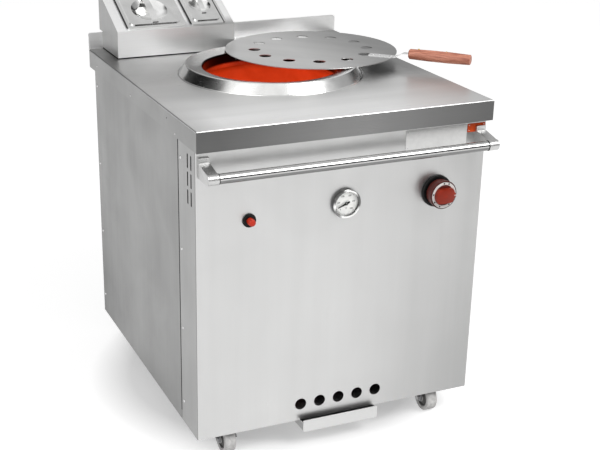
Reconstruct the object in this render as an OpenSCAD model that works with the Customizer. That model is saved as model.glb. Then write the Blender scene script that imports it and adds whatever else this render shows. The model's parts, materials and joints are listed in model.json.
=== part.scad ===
// Gas tandoor: a clay pot in a square steel cabinet on casters, with a pan stand on its worktop.
// Origin on the floor under the middle of the worktop, +X to the right, +Y to the back, +Z up.

/* [View] */
// Node to draw, or all of them

/* [Worktop] */
// Width of the worktop
top_w = 800; // [740:5:1000]
// Depth of the worktop
top_d = 925; // [880:5:1100]
// Height of the worktop's surface above the floor
work_h = 900; // [860:5:960]
// Thickness of the worktop's sheet
top_t = 2; // [1.5:0.5:3]
// Outer radius of the bends round the worktop
bend_r = 4; // [3.5:0.5:8]
// Height of the turned-down lip
lip_h = 53; // [40:1:70]
// Width of the hem folded in under the front and rear lips
lip_hem = 12; // [6:1:16]
// Height of the upstand at the back
splash_h = 47; // [30:1:60]
// Depth of the folded upstand
splash_d = 6; // [5:1:12]
// Height of the hem behind the upstand
splash_hem = 14; // [8:1:25]
// Radius of the upstand's top corners
splash_r = 8; // [4:1:14]

/* [Cabinet] */
// Overhang of the worktop at each side
side_inset = 4; // [3.5:0.5:12]
// Overhang of the worktop at the front
front_inset = 21.5; // [16:0.5:40]
// Overhang of the worktop at the back
back_inset = 46.5; // [20:0.5:60]
// Bottom edge of the panels above the floor
skirt_z = 76; // [76:1:90]
// Thickness of the panels
panel_t = 2; // [1.5:0.5:3]
// Outer radius of the front panel's bends
panel_r = 4; // [3.5:0.5:8]
// Gap between the panels and the worktop
panel_gap = 3; // [1:0.5:6]
// Width of the hem along the front panel's bottom edge
panel_hem = 14; // [8:1:20]
// Depth of the front panel's side strips
strip_d = 120.5; // [100:0.5:150]
// Seam between a side strip and its side panel
seam = 2; // [1:0.5:4]
// Width of the side panel's lap behind the strip
lap_w = 28; // [20:1:40]
// Height of the base pan above the bottom edge of the panels
base_rise = 24; // [24:1:40]
// Thickness of the base pan
base_t = 3; // [2:0.5:5]
// Width of the corner posts along the front and rear, and of the top rails
post_w = 30; // [25:1:45]
// Width of the corner posts along the cabinet's sides
post_side = 20; // [16:1:24]
// Thickness of the corner posts and the top rails
post_t = 3; // [2:0.5:5]

/* [Air openings] */
// Number of round air holes in the front panel
hole_n = 5; // [3:2:7]
// Radius of an air hole
hole_r = 16; // [10:0.5:20]
// Distance between air holes
hole_pitch = 54.7; // [45:0.1:60]
// Height of the air holes above the panel's bottom edge
hole_rise = 47; // [35:0.5:60]
// Length of a louvre slot
slot_l = 36; // [25:1:40]
// Width of a louvre slot
slot_w = 5; // [3:0.5:8]
// Distance between rows of louvre slots
slot_pitch = 45; // [42:0.5:60]
// Rows of louvre slots
slot_rows = 3; // [2:1:4]
// Top row of louvre slots below the worktop's surface
slot_drop = 91; // [80:1:110]
// First column of louvre slots behind the panel's front
slot_back = 29; // [20:0.5:40]
// Distance between columns of louvre slots
slot_step = 24; // [15:0.5:30]
// Lowest slot of the rear panel above the base pan
rear_slot_low = 90; // [70:5:120]
// Lowest slot of the rear panel's upper groups below the panel's top
rear_slot_high = 160; // [150:5:220]
// Distance between slots of the rear panel
rear_slot_pitch = 22; // [15:1:26]
// Length of a slot in the rear panel
rear_slot_l = 90; // [60:1:120]
// Slots in each group of the rear panel
rear_slot_n = 6; // [3:1:8]

/* [Mouth and pot] */
// Middle of the mouth right of the worktop's middle
mouth_x = -14; // [-30:1:30]
// Middle of the mouth in front of the pan stand
mouth_gap = 294; // [285:1:320]
// Radius of the clear mouth
mouth_r = 186; // [160:1:190]
// Outer radius of the collar's foot
ring_foot_r = 252; // [245:1:262]
// Radius of the collar's crest
ring_crest_r = 230; // [222:1:238]
// Height of the collar
ring_h = 27.5; // [20:0.5:40]
// Fall of the collar's top towards the mouth
ring_dish = 7.5; // [4:0.5:12]
// Thickness of the collar's sheet
ring_t = 2; // [1.5:0.5:3]
// Radius of the collar's crest in section
ring_crest_bend = 5; // [4:0.5:8]
// Radius of the collar's inner bend in section
ring_neck_bend = 6; // [4:0.5:9]
// Reach of the collar's neck below the worktop's surface
neck_drop = 20; // [12:1:30]
// Width of the collar's foot flange
ring_flange = 18; // [10:1:24]
// Radius of the opening in the worktop
top_hole_r = 200; // [196:1:220]
// Height of the pot's underside above the base pan
pot_rise = 122; // [110:1:140]
// Gap between the pot's rim and the worktop's surface
pot_gap = 8; // [5:1:15]
// Outer radius of the pot's belly
belly_r = 292; // [280:1:300]
// Height of the belly above the pot's underside
belly_rise = 245; // [200:5:300]
// Thickness of the pot's wall
pot_wall = 30; // [25:1:36]
// Radius of the hole in the pot's floor
pot_hole_r = 110; // [108:1:125]
// Thickness of the insulation at the belly
lagging_t = 36; // [20:1:45]
// Gap between the insulation and the worktop's surface
lagging_gap = 20; // [15:1:30]
// Thickness of the drum
drum_t = 2; // [1.5:0.5:3]
// Thickness of the seat plate under the pot
seat_t = 5; // [4:0.5:8]
// Half the distance between the seat plate's legs
leg_spread = 200; // [180:5:215]
// Width of a leg
leg_w = 40; // [30:1:50]

/* [Burner] */
// Middle radius of the ring burner
burner_r = 72; // [66:1:74]
// Width of the ring burner's casting
burner_w = 40; // [36:1:40]
// Height of the ring burner's casting
burner_h = 30; // [26:1:36]
// Wall of the ring burner's casting
burner_wall = 7; // [5:0.5:8]
// Number of flame ports
port_n = 24; // [16:4:32]
// Radius of a flame port
port_r = 2; // [1.5:0.25:3]
// Outer radius of the mixer tube
mixer_r = 20; // [18:0.5:22]
// Wall of the mixer tube
mixer_wall = 3; // [2:0.5:4]
// Mouth of the mixer tube behind the front panel
mixer_back = 111; // [105:1:125]
// Centre-line radius of the mixer tube's elbow
mixer_bend = 34; // [30:1:40]
// Radius of the flame deflector
deflector_r = 105; // [80:1:130]
// Height of the flame deflector's dome
deflector_h = 30; // [20:1:40]
// Length of the flame deflector's legs
deflector_leg = 24; // [16:1:40]
// Radius of a gas pipe
pipe_r = 7; // [6:0.5:8]
// Radius of the threaded gas inlet, for a half inch parallel thread
inlet_r = 10.48; // [8:0.01:14]
// Reach of the gas inlet behind the rear panel
inlet_l = 24; // [20:1:40]
// Gas inlet right of the knob
inlet_side = 41; // [38:1:50]
// Gas inlet above the base pan
inlet_rise = 50; // [40:1:60]

/* [Controls] */
// Knob and thermometer below the worktop's surface
control_drop = 231; // [225:1:255]
// Igniter below the worktop's surface
igniter_drop = 242; // [230:1:260]
// Knob and igniter from the cabinet's sides
control_in = 137; // [126:1:156]
// Radius of the knob
knob_r = 37.5; // [34:0.5:42]
// Depth of the knob's skirt
knob_skirt = 27; // [22:0.5:30]
// Height of the knob's grip
grip_h = 14; // [10:0.5:18]
// Half the height of the knob's oval grip
grip_r = 19; // [16:0.5:22]
// Travel of the knob when it is pushed
knob_push = 4; // [3:0.5:5]
// Radius of the backing ring behind the knob
bezel_r = 42; // [38:0.5:46]
// Thickness of the backing ring behind the knob
bezel_t = 8; // [5:0.5:10]
// Radius of the valve's spindle
spindle_r = 4; // [3:0.25:5]
// Radius of the igniter's flange
igniter_r = 17; // [15:0.5:20]
// Radius of the igniter's button
button_r = 9; // [8:0.25:10]
// Reach of the igniter's button in front of its flange
button_out = 17; // [10:0.5:20]
// Travel of the igniter's button
button_push = 6; // [4:0.5:7]
// Radius of the thermometer's bezel
gauge_r = 38; // [34:0.5:45]
// Depth of the thermometer's case
gauge_d = 12; // [10:0.5:16]
// Needle's direction at rest, anticlockwise from the right
needle_a = 203; // [180:1:225]

/* [Towel rail] */
// Radius of the rail's bar
bar_r = 12.5; // [10:0.5:16]
// Middle of the bar in front of the panel
bar_reach = 62; // [50:1:75]
// Middle of the bar below the worktop's surface
bar_drop = 105; // [90:1:115]
// Outer ends of the brackets from the cabinet's sides
bracket_in = 6; // [4:1:36]
// Width of a bracket
bracket_w = 27; // [20:1:35]

/* [Drip tray] */
// Width of the tray
tray_w = 218; // [200:1:240]
// Reach of the tray in front of the panel
tray_reach = 19; // [12:1:30]
// Length of the tray
tray_l = 590; // [560:5:620]
// Height of the tray
tray_h = 26; // [20:1:27]
// Rise of the tray's front above its side flanges
tray_lip = 8; // [4:1:12]
// Gap between the tray and the bottom edge of the panels
tray_gap = 2; // [1:0.5:4]
// Thickness of the tray's sheet
tray_t = 1.5; // [1:0.5:2]
// Width of the tray's side flanges
tray_flange = 10; // [8:1:14]

/* [Casters] */
// Radius of a wheel
wheel_r = 37.5; // [35:0.5:37.5]
// Width of a wheel
wheel_w = 32; // [26:1:36]
// Trail of a caster
trail = 28; // [24:1:32]
// Caster's pivot from the cabinet's side
caster_side = 95; // [80:1:110]
// Caster's pivot from the cabinet's front and rear
caster_end = 77; // [65:1:90]
// Radius of a wheel's axle
axle_r = 4; // [3:0.25:5]

/* [Mouth lid] */
// Radius of the lid
lid_r = 244; // [238:1:250]
// Thickness of the lid's disc
lid_t = 2; // [1.5:0.5:3]
// Gap between the lid's edge and the pan stand's corner
lid_gap = 2.2; // [1:0.1:6]
// Direction from the stand's corner to the lid's middle
lid_side_a = -49.8; // [-60:0.1:-45]
// Number of holes in the lid
lid_hole_n = 12; // [8:1:12]
// Radius of a hole in the lid
lid_hole_r = 17; // [10:0.5:18]
// Radius of the circle of holes
lid_ring_r = 161; // [150:1:165]
// Direction of the lid's handle
handle_a = -46.5; // [-60:0.5:-40]
// Width of the handle's strap
strap_w = 22; // [16:1:28]
// Thickness of the handle's strap
strap_t = 2.5; // [2:0.5:4]
// Rise of the strap from the lid to the grip
strap_rise = 12.5; // [10:0.5:24]
// Radius of the wooden grip
wood_r = 15.5; // [12:0.5:17]
// Length of the wooden grip
wood_l = 173; // [150:1:180]

/* [Pan stand] */
// Left side of the stand from the worktop's left edge
stand_left = 42; // [30:1:60]
// Width of the stand
stand_w = 355; // [350:1:370]
// Depth of the stand's foot
stand_d = 156; // [150:1:170]
// Reach of the stand over the upstand
stand_over = 30; // [30:1:45]
// Height of the stand's front
stand_h = 77; // [72:1:95]
// Slope of the stand's deck
deck_a = 25; // [22:0.5:28]
// Thickness of the stand's sheet
stand_t = 2; // [1.5:0.5:2.5]
// Front margin of the pans on the deck
pan_margin = 8; // [5:0.5:12]
// Left pan's middle from the stand's left side
pan_1_x = 120.5; // [110:0.5:125]
// Width of the left pan's rim
pan_1_w = 176; // [160:1:180]
// Length of the left pan's rim
pan_1_l = 162; // [150:1:176]
// Right pan's middle from the stand's left side
pan_2_x = 277.5; // [270:0.5:285]
// Width of the right pan's rim
pan_2_w = 108; // [95:1:112]
// Length of the right pan's rim
pan_2_l = 176; // [162:1:176]
// Depth of a pan
pan_depth = 65; // [40:1:65]
// Width of a pan's rim
pan_rim = 8; // [6:0.5:10]
// Thickness of a pan's sheet
pan_t = 1.5; // [1:0.25:2]
// Radius of a pan's corners
pan_r = 20; // [16:1:24]
// Step in a pan's wall below its shoulder
pan_step = 6; // [6:0.5:8]
// Thickness of a pan lid's sheet
cover_t = 1.2; // [1:0.1:1.5]
// Height of a pan lid's raised panel
cover_rise = 3; // [2:0.5:5]
// Width of a pan lid's flat border
cover_border = 13; // [10:0.5:16]
// Radius of the left lid's recess
dish_1_r = 53; // [40:1:55]
// Depth of the left lid's recess
dish_1_d = 18; // [12:0.5:20]
// Radius of the right lid's recess
dish_2_r = 33; // [26:1:34]
// Depth of the right lid's recess
dish_2_d = 14; // [10:0.5:15]
// Rise of a lid's bar handle over the recess
pull_rise = 7; // [5:0.5:10]
// Thickness of a lid's bar handle
pull_t = 2.5; // [2:0.25:3]

/* [Hidden] */
$fa = 5;
$fs = 1.6;
fit = 0.3;
run = 0.05;
eps = 1;

half_w = top_w / 2;
half_d = top_d / 2;
under = work_h - top_t;
side_x = half_w - side_inset;
front_y = -half_d + front_inset;
rear_y = half_d - back_inset;
inner_x = side_x - panel_t;
inner_front = front_y + panel_t;
inner_rear = rear_y - panel_t;
panel_top = under - panel_gap;
strip_end = front_y + strip_d;
side_start = strip_end + seam;
base_z = skirt_z + base_rise;
base_top = base_z + base_t;
frame_x = inner_x - fit;
frame_front = inner_front + fit;
frame_rear = inner_rear - fit;
control_x = side_x - control_in;
control_z = work_h - control_drop;
igniter_z = work_h - igniter_drop;
post_r = post_t + 1;
lap_low = base_top + fit;
flange_low = skirt_z + panel_t + fit;

stand_x = -half_w + stand_left;
stand_right = stand_x + stand_w;
stand_rear = half_d - splash_d - 0.5;
stand_front = stand_rear - stand_d;
over_y = stand_rear + stand_over;
over_z = work_h + splash_h + 3;

mouth_y = stand_front - mouth_gap;
pot_z = base_top + pot_rise;
pot_top = work_h - pot_gap;
neck_r = mouth_r + ring_t;
belly_z = pot_z + belly_rise;
pot_neck_r = neck_r + 2;
pot_floor = pot_z + pot_wall;
lagging_r = belly_r + lagging_t;
lagging_top = work_h - lagging_gap;
drum_r = lagging_r + fit;
flank_a = 36;
dish_a = 101;

burner_out = burner_r + burner_w / 2;
burner_in = burner_r - burner_w / 2;
burner_z = pot_z + 7;
burner_top = burner_z + burner_h;
stub_l = 12;
lug_r = burner_out + 6;
mixer_x = mouth_x + burner_r;
mixer_z = burner_z - stub_l - mixer_bend - 2;
mixer_end = mouth_y - mixer_bend;
mixer_start = inner_front + mixer_back;
mixer_l = mixer_end - mixer_start;
throat_front = 40;
throat_l = 12;
diffuser_l = 78;
bell_r = mixer_r + 6;
throat_r = mixer_r - 5;
injector_l = 28;
injector_gap = 6;
lead_r = 2;
lead_bend = 12;
electrode_r = 3.5;
electrode_drop = 30;
electrode_low = burner_z - electrode_drop;
spark_under = 30;
spark_back = 26;
couple_under = 45;
couple_back = 66;
pipe_bend = 24;
valve_r = 17;
valve_l = 45;
valve_y = inner_front + valve_l / 2;
inlet_x = control_x + inlet_side;
inlet_z = base_top + inlet_rise;
inlet_neck = 3;
neck_valve_r = 9;
valve_port = valve_r + 6;
spindle_in = 28;
spindle_out = 14;
spindle_bore = 30;
igniter_l = 74;
probe_r = 4;
gauge_neck = 7;

lid_x = stand_right + (lid_r + lid_gap) * cos(lid_side_a);
lid_y = stand_front + (lid_r + lid_gap) * sin(lid_side_a);
lid_z = work_h + ring_h + fit;
strap_foot = 16;
knee_out = 6;
narrow_out = 41;
wood_out = 47;
tang_short = 34;
strap_start = lid_ring_r + strap_foot;
strap_knee = lid_r + knee_out;
strap_run = 24;
strap_narrow = lid_r + narrow_out;
wood_start = lid_r + wood_out;
tang_end = wood_start + wood_l - tang_short;

tray_top = skirt_z - tray_gap;
tray_front = front_y - tray_reach;
tray_rear = tray_front + tray_l;
runner_t = 2;
runner_front = inner_front + panel_hem;

bar_y = front_y - bar_reach;
bar_z = work_h - bar_drop;
bracket_x = side_x - bracket_in;
boss_r = bar_r + 1;
spigot_r = bar_r - 3.5;
spigot_l = 12;

caster_x = side_x - caster_side;
caster_front = front_y + caster_end;
caster_rear = rear_y - caster_end;
casters = [[-caster_x, caster_front], [caster_x, caster_front], [-caster_x, caster_rear], [caster_x, caster_rear]];
plate_w = 92;
plate_d = 70;
plate_t = 3;
race_r = 24;
pivot_r = 6;
crown_top = base_z - 18;
leg_gap = wheel_w / 2 + 2.5;
fork_t = 3;

pan_rim_top = fit + 1.7;
cover_top = pan_rim_top + fit + cover_t;
panel_n = cover_top + cover_rise;

// Shared shapes

function arc(c, r, a0, a1, n = 6) =
  [for (i = [0:n]) c + r * [cos(a0 + (a1 - a0) * i / n), sin(a0 + (a1 - a0) * i / n)]];

function unit(v) = v / norm(v);

module box(low, high) {
  translate(low)
    cube(high - low);
}

module rounded(w, l, r) {
  square([w - 2 * r, l], center = true);
  square([w, l - 2 * r], center = true);
  for (x = [-1, 1], y = [-1, 1])
    translate([x * (w / 2 - r), y * (l / 2 - r)])
      circle(r = r);
}

module slot_2d(l, w) {
  square([l - w, w], center = true);
  for (s = [-1, 1])
    translate([s * (l - w) / 2, 0])
      circle(r = w / 2, $fn = 24);
}

// A point (a, b) of the children's outline lands at Y = a, Z = b
module side_profile(width) {
  rotate([90, 0, 90])
    linear_extrude(height = width, center = true)
      children();
}

// Local +Z points out of the front panel, from its face
module on_front(x, z) {
  translate([x, front_y, z])
    rotate([90, 0, 0])
      children();
}

// Local X runs along the stand, Y up the slope and Z out of the deck
module on_deck(x, s) {
  translate([stand_x, stand_front, work_h + stand_h])
    rotate([deck_a, 0, 0])
      translate([x, s, 0])
        children();
}

module rod(a, b, r) {
  d = b - a;
  translate(a)
    rotate([0, acos(d[2] / norm(d)), atan2(d[1], d[0])])
      cylinder(h = norm(d), r = r);
}

// A bent tube through the given corners, which lie along the axes
module bent_tube(p, r, bend) {
  last = len(p) - 1;
  for (i = [0:last - 1]) {
    d = unit(p[i + 1] - p[i]);
    rod(p[i] + d * (i == 0 ? 0 : bend), p[i + 1] - d * (i == last - 1 ? 0 : bend), r);
  }
  for (i = [1:last - 1]) {
    d1 = unit(p[i] - p[i - 1]);
    d2 = unit(p[i + 1] - p[i]);
    n = cross(d1, d2);
    c = p[i] + bend * (d2 - d1);
    multmatrix([
      [-d2[0], d1[0], n[0], c[0]],
      [-d2[1], d1[1], n[1], c[1]],
      [-d2[2], d1[2], n[2], c[2]],
      [0, 0, 0, 1]
    ])
      rotate_extrude(angle = 90)
        translate([bend, 0])
          circle(r = r);
  }
}

// Worktop

module edge_profile(w, h, r) {
  translate([-w / 2, -h])
    square([w, h - r]);
  translate([-w / 2 + r, -h])
    square([w - 2 * r, h]);
  for (s = [-1, 1])
    translate([s * (w / 2 - r), -r])
      circle(r = r);
}

module bent_block(w, d, h, r) {
  intersection() {
    rotate([90, 0, 0])
      linear_extrude(height = d, center = true)
        edge_profile(w, h, r);
    side_profile(w)
      edge_profile(d, h, r);
  }
}

module upstand() {
  top = work_h + splash_h;
  y = half_d - splash_d;
  intersection() {
    union() {
      box([-half_w, y, under], [half_w, y + top_t, top]);
      box([-half_w, y, top - top_t], [half_w, half_d, top]);
      box([-half_w, half_d - top_t, top - splash_hem], [half_w, half_d, top]);
      for (x = [-half_w, half_w - top_t])
        box([x, y, work_h - bend_r], [x + top_t, half_d, top]);
    }
    translate([0, half_d, top])
      rotate([90, 0, 0])
        linear_extrude(height = splash_d)
          edge_profile(top_w, splash_h + 2 * bend_r, splash_r);
  }
}

module worktop() {
  lip_z = work_h - lip_h;
  color("silver")
    difference() {
      union() {
        difference() {
          translate([0, 0, work_h])
            bent_block(top_w, top_d, lip_h, bend_r);
          translate([0, 0, under])
            bent_block(top_w - 2 * top_t, top_d - 2 * top_t, lip_h, bend_r - top_t);
        }
        for (s = [-1, 1])
          scale([1, s, 1])
            box([-half_w + top_t, half_d - lip_hem, lip_z], [half_w - top_t, half_d - top_t, lip_z + top_t]);
        upstand();
      }
      translate([mouth_x, mouth_y, under - eps])
        cylinder(h = top_t + 2 * eps, r = top_hole_r);
    }
}

module mouth_collar() {
  crest = [ring_crest_r, ring_h - ring_crest_bend];
  neck = [mouth_r + ring_neck_bend, ring_h - ring_dish - ring_neck_bend];
  foot_in = ring_foot_r - ring_t / cos(flank_a) - ring_t * tan(flank_a);
  color("gainsboro")
    translate([mouth_x, mouth_y, work_h])
      rotate_extrude()
        polygon(concat(
          [[ring_foot_r, 0]],
          arc(crest, ring_crest_bend, flank_a, dish_a),
          arc(neck, ring_neck_bend, dish_a, 180),
          [[mouth_r, -neck_drop], [neck_r, -neck_drop]],
          arc(neck, ring_neck_bend - ring_t, 180, dish_a),
          arc(crest, ring_crest_bend - ring_t, dish_a, flank_a),
          [[foot_in, ring_t], [ring_foot_r - ring_flange, ring_t], [ring_foot_r - ring_flange, 0]]
        ));
}

// Cabinet

module base_pan() {
  corner = post_w + 4;
  color("dimgray") {
    difference() {
      union() {
        translate([0, (frame_front + frame_rear) / 2, base_z])
          linear_extrude(height = base_t)
            rounded(2 * frame_x, frame_rear - frame_front, post_r);
        for (s = [-1, 1])
          scale([s, 1, 1])
            box([frame_x - base_t, frame_front + corner, flange_low], [frame_x, frame_rear - corner, base_top]);
        for (y = [frame_front, frame_rear - base_t])
          box([-frame_x + corner, y, flange_low], [frame_x - corner, y + base_t, base_top]);
      }
      translate([mouth_x, mouth_y, base_z - eps])
        cylinder(h = base_t + 2 * eps, r = pot_hole_r - 20);
    }
  }
}

// An angle whose outer corner is at the origin, with the fold's round outside
module angle_2d(w, d, t, r) {
  difference() {
    union() {
      translate([r, r])
        circle(r = r);
      translate([r, 0])
        square([w - r, r]);
      translate([0, r])
        square([r, d - r]);
    }
    translate([t, t])
      square(w + d);
  }
}

module corner_posts() {
  color("gray")
    for (sx = [-1, 1], y = [frame_front, frame_rear])
      translate([sx * frame_x, y, base_top])
        scale([-sx, y < mouth_y ? 1 : -1, 1])
          linear_extrude(height = under - base_top)
            angle_2d(post_w, post_side, post_t, post_r);
}

module top_rails() {
  x = frame_x - post_w - fit;
  color("gray")
    for (y = [frame_front, frame_rear])
      translate([0, y, 0])
        scale([1, y < mouth_y ? 1 : -1, 1]) {
          box([-x, 0, under - post_w], [x, post_t, under]);
          box([-x, 0, under - post_t], [x, post_w, under]);
        }
}

module front_plan(r, inset) {
  translate([-side_x + inset, front_y + inset + r])
    square([2 * (side_x - inset), strip_d - r]);
  translate([-side_x + inset + r, front_y + inset])
    square([2 * (side_x - inset - r), strip_d]);
  for (s = [-1, 1])
    translate([s * (side_x - inset - r), front_y + inset + r])
      circle(r = r);
}

module louvre_cuts() {
  for (row = [0:slot_rows - 1], col = [0, 1])
    translate([0, front_y + slot_back + col * slot_step, work_h - slot_drop - row * slot_pitch])
      rotate([0, 90, 0])
        linear_extrude(height = top_w, center = true)
          slot_2d(slot_l, slot_w);
}

module front_panel() {
  color("silver")
    difference() {
      union() {
        translate([0, 0, skirt_z])
          linear_extrude(height = panel_top - skirt_z)
            intersection() {
              difference() {
                front_plan(panel_r, 0);
                front_plan(panel_r - panel_t, panel_t);
              }
              translate([-half_w, front_y])
                square([top_w, strip_d]);
            }
        box([-inner_x, inner_front, skirt_z], [inner_x, inner_front + panel_hem, skirt_z + panel_t]);
      }
      louvre_cuts();
      for (i = [0:hole_n - 1])
        on_front((i - (hole_n - 1) / 2) * hole_pitch, skirt_z + hole_rise)
          cylinder(h = 4 * panel_t, r = hole_r, center = true);
      on_front(control_x, control_z)
        cylinder(h = 4 * panel_t, r = neck_valve_r + fit, center = true);
      on_front(-control_x, igniter_z)
        cylinder(h = 4 * panel_t, r = button_r + 2 + fit, center = true);
      on_front(0, control_z)
        cylinder(h = 4 * panel_t, r = gauge_neck + fit, center = true);
    }
}

module side_panel() {
  lap_x = inner_x - fit;
  color("silver") {
    box([inner_x, side_start, skirt_z], [side_x, rear_y, panel_top]);
    box([lap_x - panel_t, side_start, lap_low], [side_x, side_start + panel_t, panel_top]);
    box([lap_x - panel_t, strip_end - lap_w, lap_low], [lap_x, side_start + panel_t, panel_top]);
  }
}

module left_panel() {
  mirror([1, 0, 0])
    side_panel();
}

module right_panel() {
  side_panel();
}

module rear_panel() {
  color("silver")
    difference() {
      box([-frame_x, inner_rear, skirt_z], [frame_x, rear_y, panel_top]);
      for (x = [-1, 1], z = [base_top + rear_slot_low, panel_top - rear_slot_high], i = [0:rear_slot_n - 1])
        translate([x * half_w / 2, rear_y - panel_t / 2, z + i * rear_slot_pitch])
          rotate([90, 0, 0])
            linear_extrude(height = 4 * panel_t, center = true)
              slot_2d(rear_slot_l, slot_w);
      rod([inlet_x, inner_rear - eps, inlet_z], [inlet_x, rear_y + eps, inlet_z], inlet_r + 2 + fit);
    }
}

// Pot, insulation, drum and seat

function bulge_r(drop) = (pow(drop, 2) + pow(pot_top - belly_z, 2)) / (2 * drop);

module bulge(belly, neck, low) {
  big = bulge_r(belly - neck);
  intersection() {
    translate([belly - big, belly_z])
      circle(r = big, $fn = 180);
    translate([0, low])
      square([belly, pot_top - low]);
  }
}

module pot_outside(gap) {
  bulge(belly_r + gap, pot_neck_r + pot_wall + gap, pot_z);
}

module probe_hole(r) {
  rod([0, front_y, control_z], [0, mouth_y - belly_r + pot_wall + eps, control_z], r);
}

module clay_pot() {
  color("chocolate")
    translate([mouth_x, mouth_y, 0])
      rotate_extrude()
        difference() {
          pot_outside(0);
          bulge(belly_r - pot_wall, pot_neck_r, pot_floor);
          translate([0, pot_z - eps])
            square([pot_hole_r, pot_wall + 2 * eps]);
        }
}

module pot_insulation() {
  color("wheat")
    difference() {
      translate([mouth_x, mouth_y, 0])
        rotate_extrude()
          difference() {
            translate([0, pot_z])
              square([lagging_r, lagging_top - pot_z]);
            pot_outside(fit);
          }
      probe_hole(probe_r + fit);
    }
}

module drum_shell() {
  color("slategray")
    difference() {
      translate([mouth_x, mouth_y, pot_z])
        difference() {
          cylinder(h = lagging_top - pot_z, r = drum_r + drum_t);
          translate([0, 0, -eps])
            cylinder(h = lagging_top - pot_z + 2 * eps, r = drum_r);
        }
      probe_hole(probe_r + fit);
    }
}

module seat_plate() {
  wall = 3;
  leg_h = pot_rise - seat_t;
  color("slategray")
    translate([mouth_x, mouth_y, base_top]) {
      translate([0, 0, leg_h])
        difference() {
          cylinder(h = seat_t, r = drum_r + drum_t + 2);
          translate([0, 0, -eps])
            cylinder(h = seat_t + 2 * eps, r = pot_hole_r);
        }
      for (x = [-1, 1], y = [-1, 1])
        translate([x * leg_spread, y * leg_spread, 0])
          difference() {
            translate([0, 0, leg_h / 2])
              cube([leg_w, leg_w, leg_h], center = true);
            translate([0, 0, leg_h / 2])
              cube([leg_w - 2 * wall, leg_w - 2 * wall, leg_h + 2 * eps], center = true);
          }
    }
}

// Burner and gas train

module ring_burner() {
  lug_w = 14;
  lug_t = 6;
  color("darkslategray")
    translate([mouth_x, mouth_y, burner_z])
      difference() {
        union() {
          rotate_extrude()
            translate([burner_in, 0])
              square([burner_w, burner_h]);
          translate([burner_r, 0, -stub_l])
            cylinder(h = stub_l + eps, r = mixer_r);
          for (a = [180, 270])
            rotate([0, 0, a])
              box([burner_out - 2, -lug_w / 2, lug_t], [lug_r + lug_w / 2 - 2, lug_w / 2, 2 * lug_t]);
        }
        rotate_extrude()
          translate([burner_in + burner_wall, burner_wall])
            square([burner_w - 2 * burner_wall, burner_h - 2 * burner_wall]);
        translate([burner_r, 0, -stub_l - eps])
          cylinder(h = stub_l + burner_wall + 2 * eps, r = burner_w / 2 - burner_wall);
        for (i = [0:port_n - 1])
          rotate([0, 0, (i + 0.5) * 360 / port_n])
            translate([burner_r, 0, burner_h - burner_wall - eps])
              cylinder(h = burner_wall + 2 * eps, r = port_r, $fn = 16);
        for (a = [180, 270])
          rotate([0, 0, a])
            translate([lug_r, 0, 0])
              cylinder(h = burner_h, r = electrode_r + run);
      }
}

module flame_deflector() {
  sheet = 3;
  big = (deflector_r * deflector_r + deflector_h * deflector_h) / (2 * deflector_h);
  edge_a = acos(deflector_r / big);
  c = [0, deflector_leg + deflector_h - big];
  color("darkslategray")
    translate([mouth_x, mouth_y, burner_top]) {
      rotate_extrude()
        polygon(concat(
          arc(c, big, edge_a, 90, 10),
          arc(c, big - sheet, 90, edge_a, 10)
        ));
      for (a = [60, 180, 300])
        rotate([0, 0, a])
          translate([burner_in + 4, 0, 0])
            cylinder(h = deflector_leg + deflector_h - sheet - 7, r = 3);
    }
}

module mixer_tube() {
  rise_l = burner_z - stub_l - mixer_z - mixer_bend;
  throat_end = throat_front + throat_l;
  diffuser_end = throat_end + diffuser_l;
  color("gray")
    difference() {
      union() {
        translate([mixer_x, mixer_start, mixer_z])
          rotate([-90, 0, 0])
            rotate_extrude()
              polygon([
                [0, 0], [bell_r, 0], [bell_r, 4], [throat_r + mixer_wall, throat_front],
                [throat_r + mixer_wall, throat_end], [mixer_r, diffuser_end], [mixer_r, mixer_l], [0, mixer_l]
              ]);
        bent_tube([
          [mixer_x, mixer_end - eps, mixer_z], [mixer_x, mouth_y, mixer_z],
          [mixer_x, mouth_y, mixer_z + mixer_bend + rise_l]
        ], mixer_r, mixer_bend);
      }
      translate([mixer_x, mixer_start, mixer_z])
        rotate([-90, 0, 0])
          rotate_extrude()
            polygon([
              [0, -eps], [bell_r - mixer_wall, -eps], [bell_r - mixer_wall, 4], [throat_r, throat_front],
              [throat_r, throat_end], [mixer_r - mixer_wall, diffuser_end],
              [mixer_r - mixer_wall, mixer_l], [0, mixer_l]
            ]);
      bent_tube([
        [mixer_x, mixer_end - 2 * eps, mixer_z], [mixer_x, mouth_y, mixer_z],
        [mixer_x, mouth_y, mixer_z + mixer_bend + rise_l + eps]
      ], mixer_r - mixer_wall, mixer_bend);
    }
}

module injector() {
  tip = 8;
  color("goldenrod")
    translate([mixer_x, mixer_start - injector_gap, mixer_z])
      rotate([90, 0, 0])
        rotate_extrude()
          polygon([
            [1, 0], [3, 0], [6, tip], [11, tip], [11, injector_l], [1, injector_l]
          ]);
}

module feed_pipe() {
  color("goldenrod")
    bent_tube([
      [control_x, valve_y, control_z - valve_port],
      [control_x, valve_y, mixer_z],
      [mixer_x, valve_y, mixer_z],
      [mixer_x, mixer_start - injector_gap - injector_l, mixer_z]
    ], pipe_r - 1, pipe_bend);
}

module supply_pipe() {
  nut = 6;
  color("goldenrod") {
    bent_tube([
      [inlet_x, inner_rear - nut, inlet_z],
      [inlet_x, valve_y, inlet_z],
      [inlet_x, valve_y, control_z],
      [control_x + valve_port, valve_y, control_z]
    ], pipe_r, inlet_side - valve_port - 3);
    rod([inlet_x, inner_rear - nut, inlet_z], [inlet_x, inner_rear, inlet_z], inlet_r + 6);
    rod([inlet_x, inner_rear, inlet_z], [inlet_x, rear_y + inlet_neck, inlet_z], inlet_r + 2);
    rod([inlet_x, inner_rear, inlet_z], [inlet_x, rear_y + inlet_l, inlet_z], inlet_r);
  }
}

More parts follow.
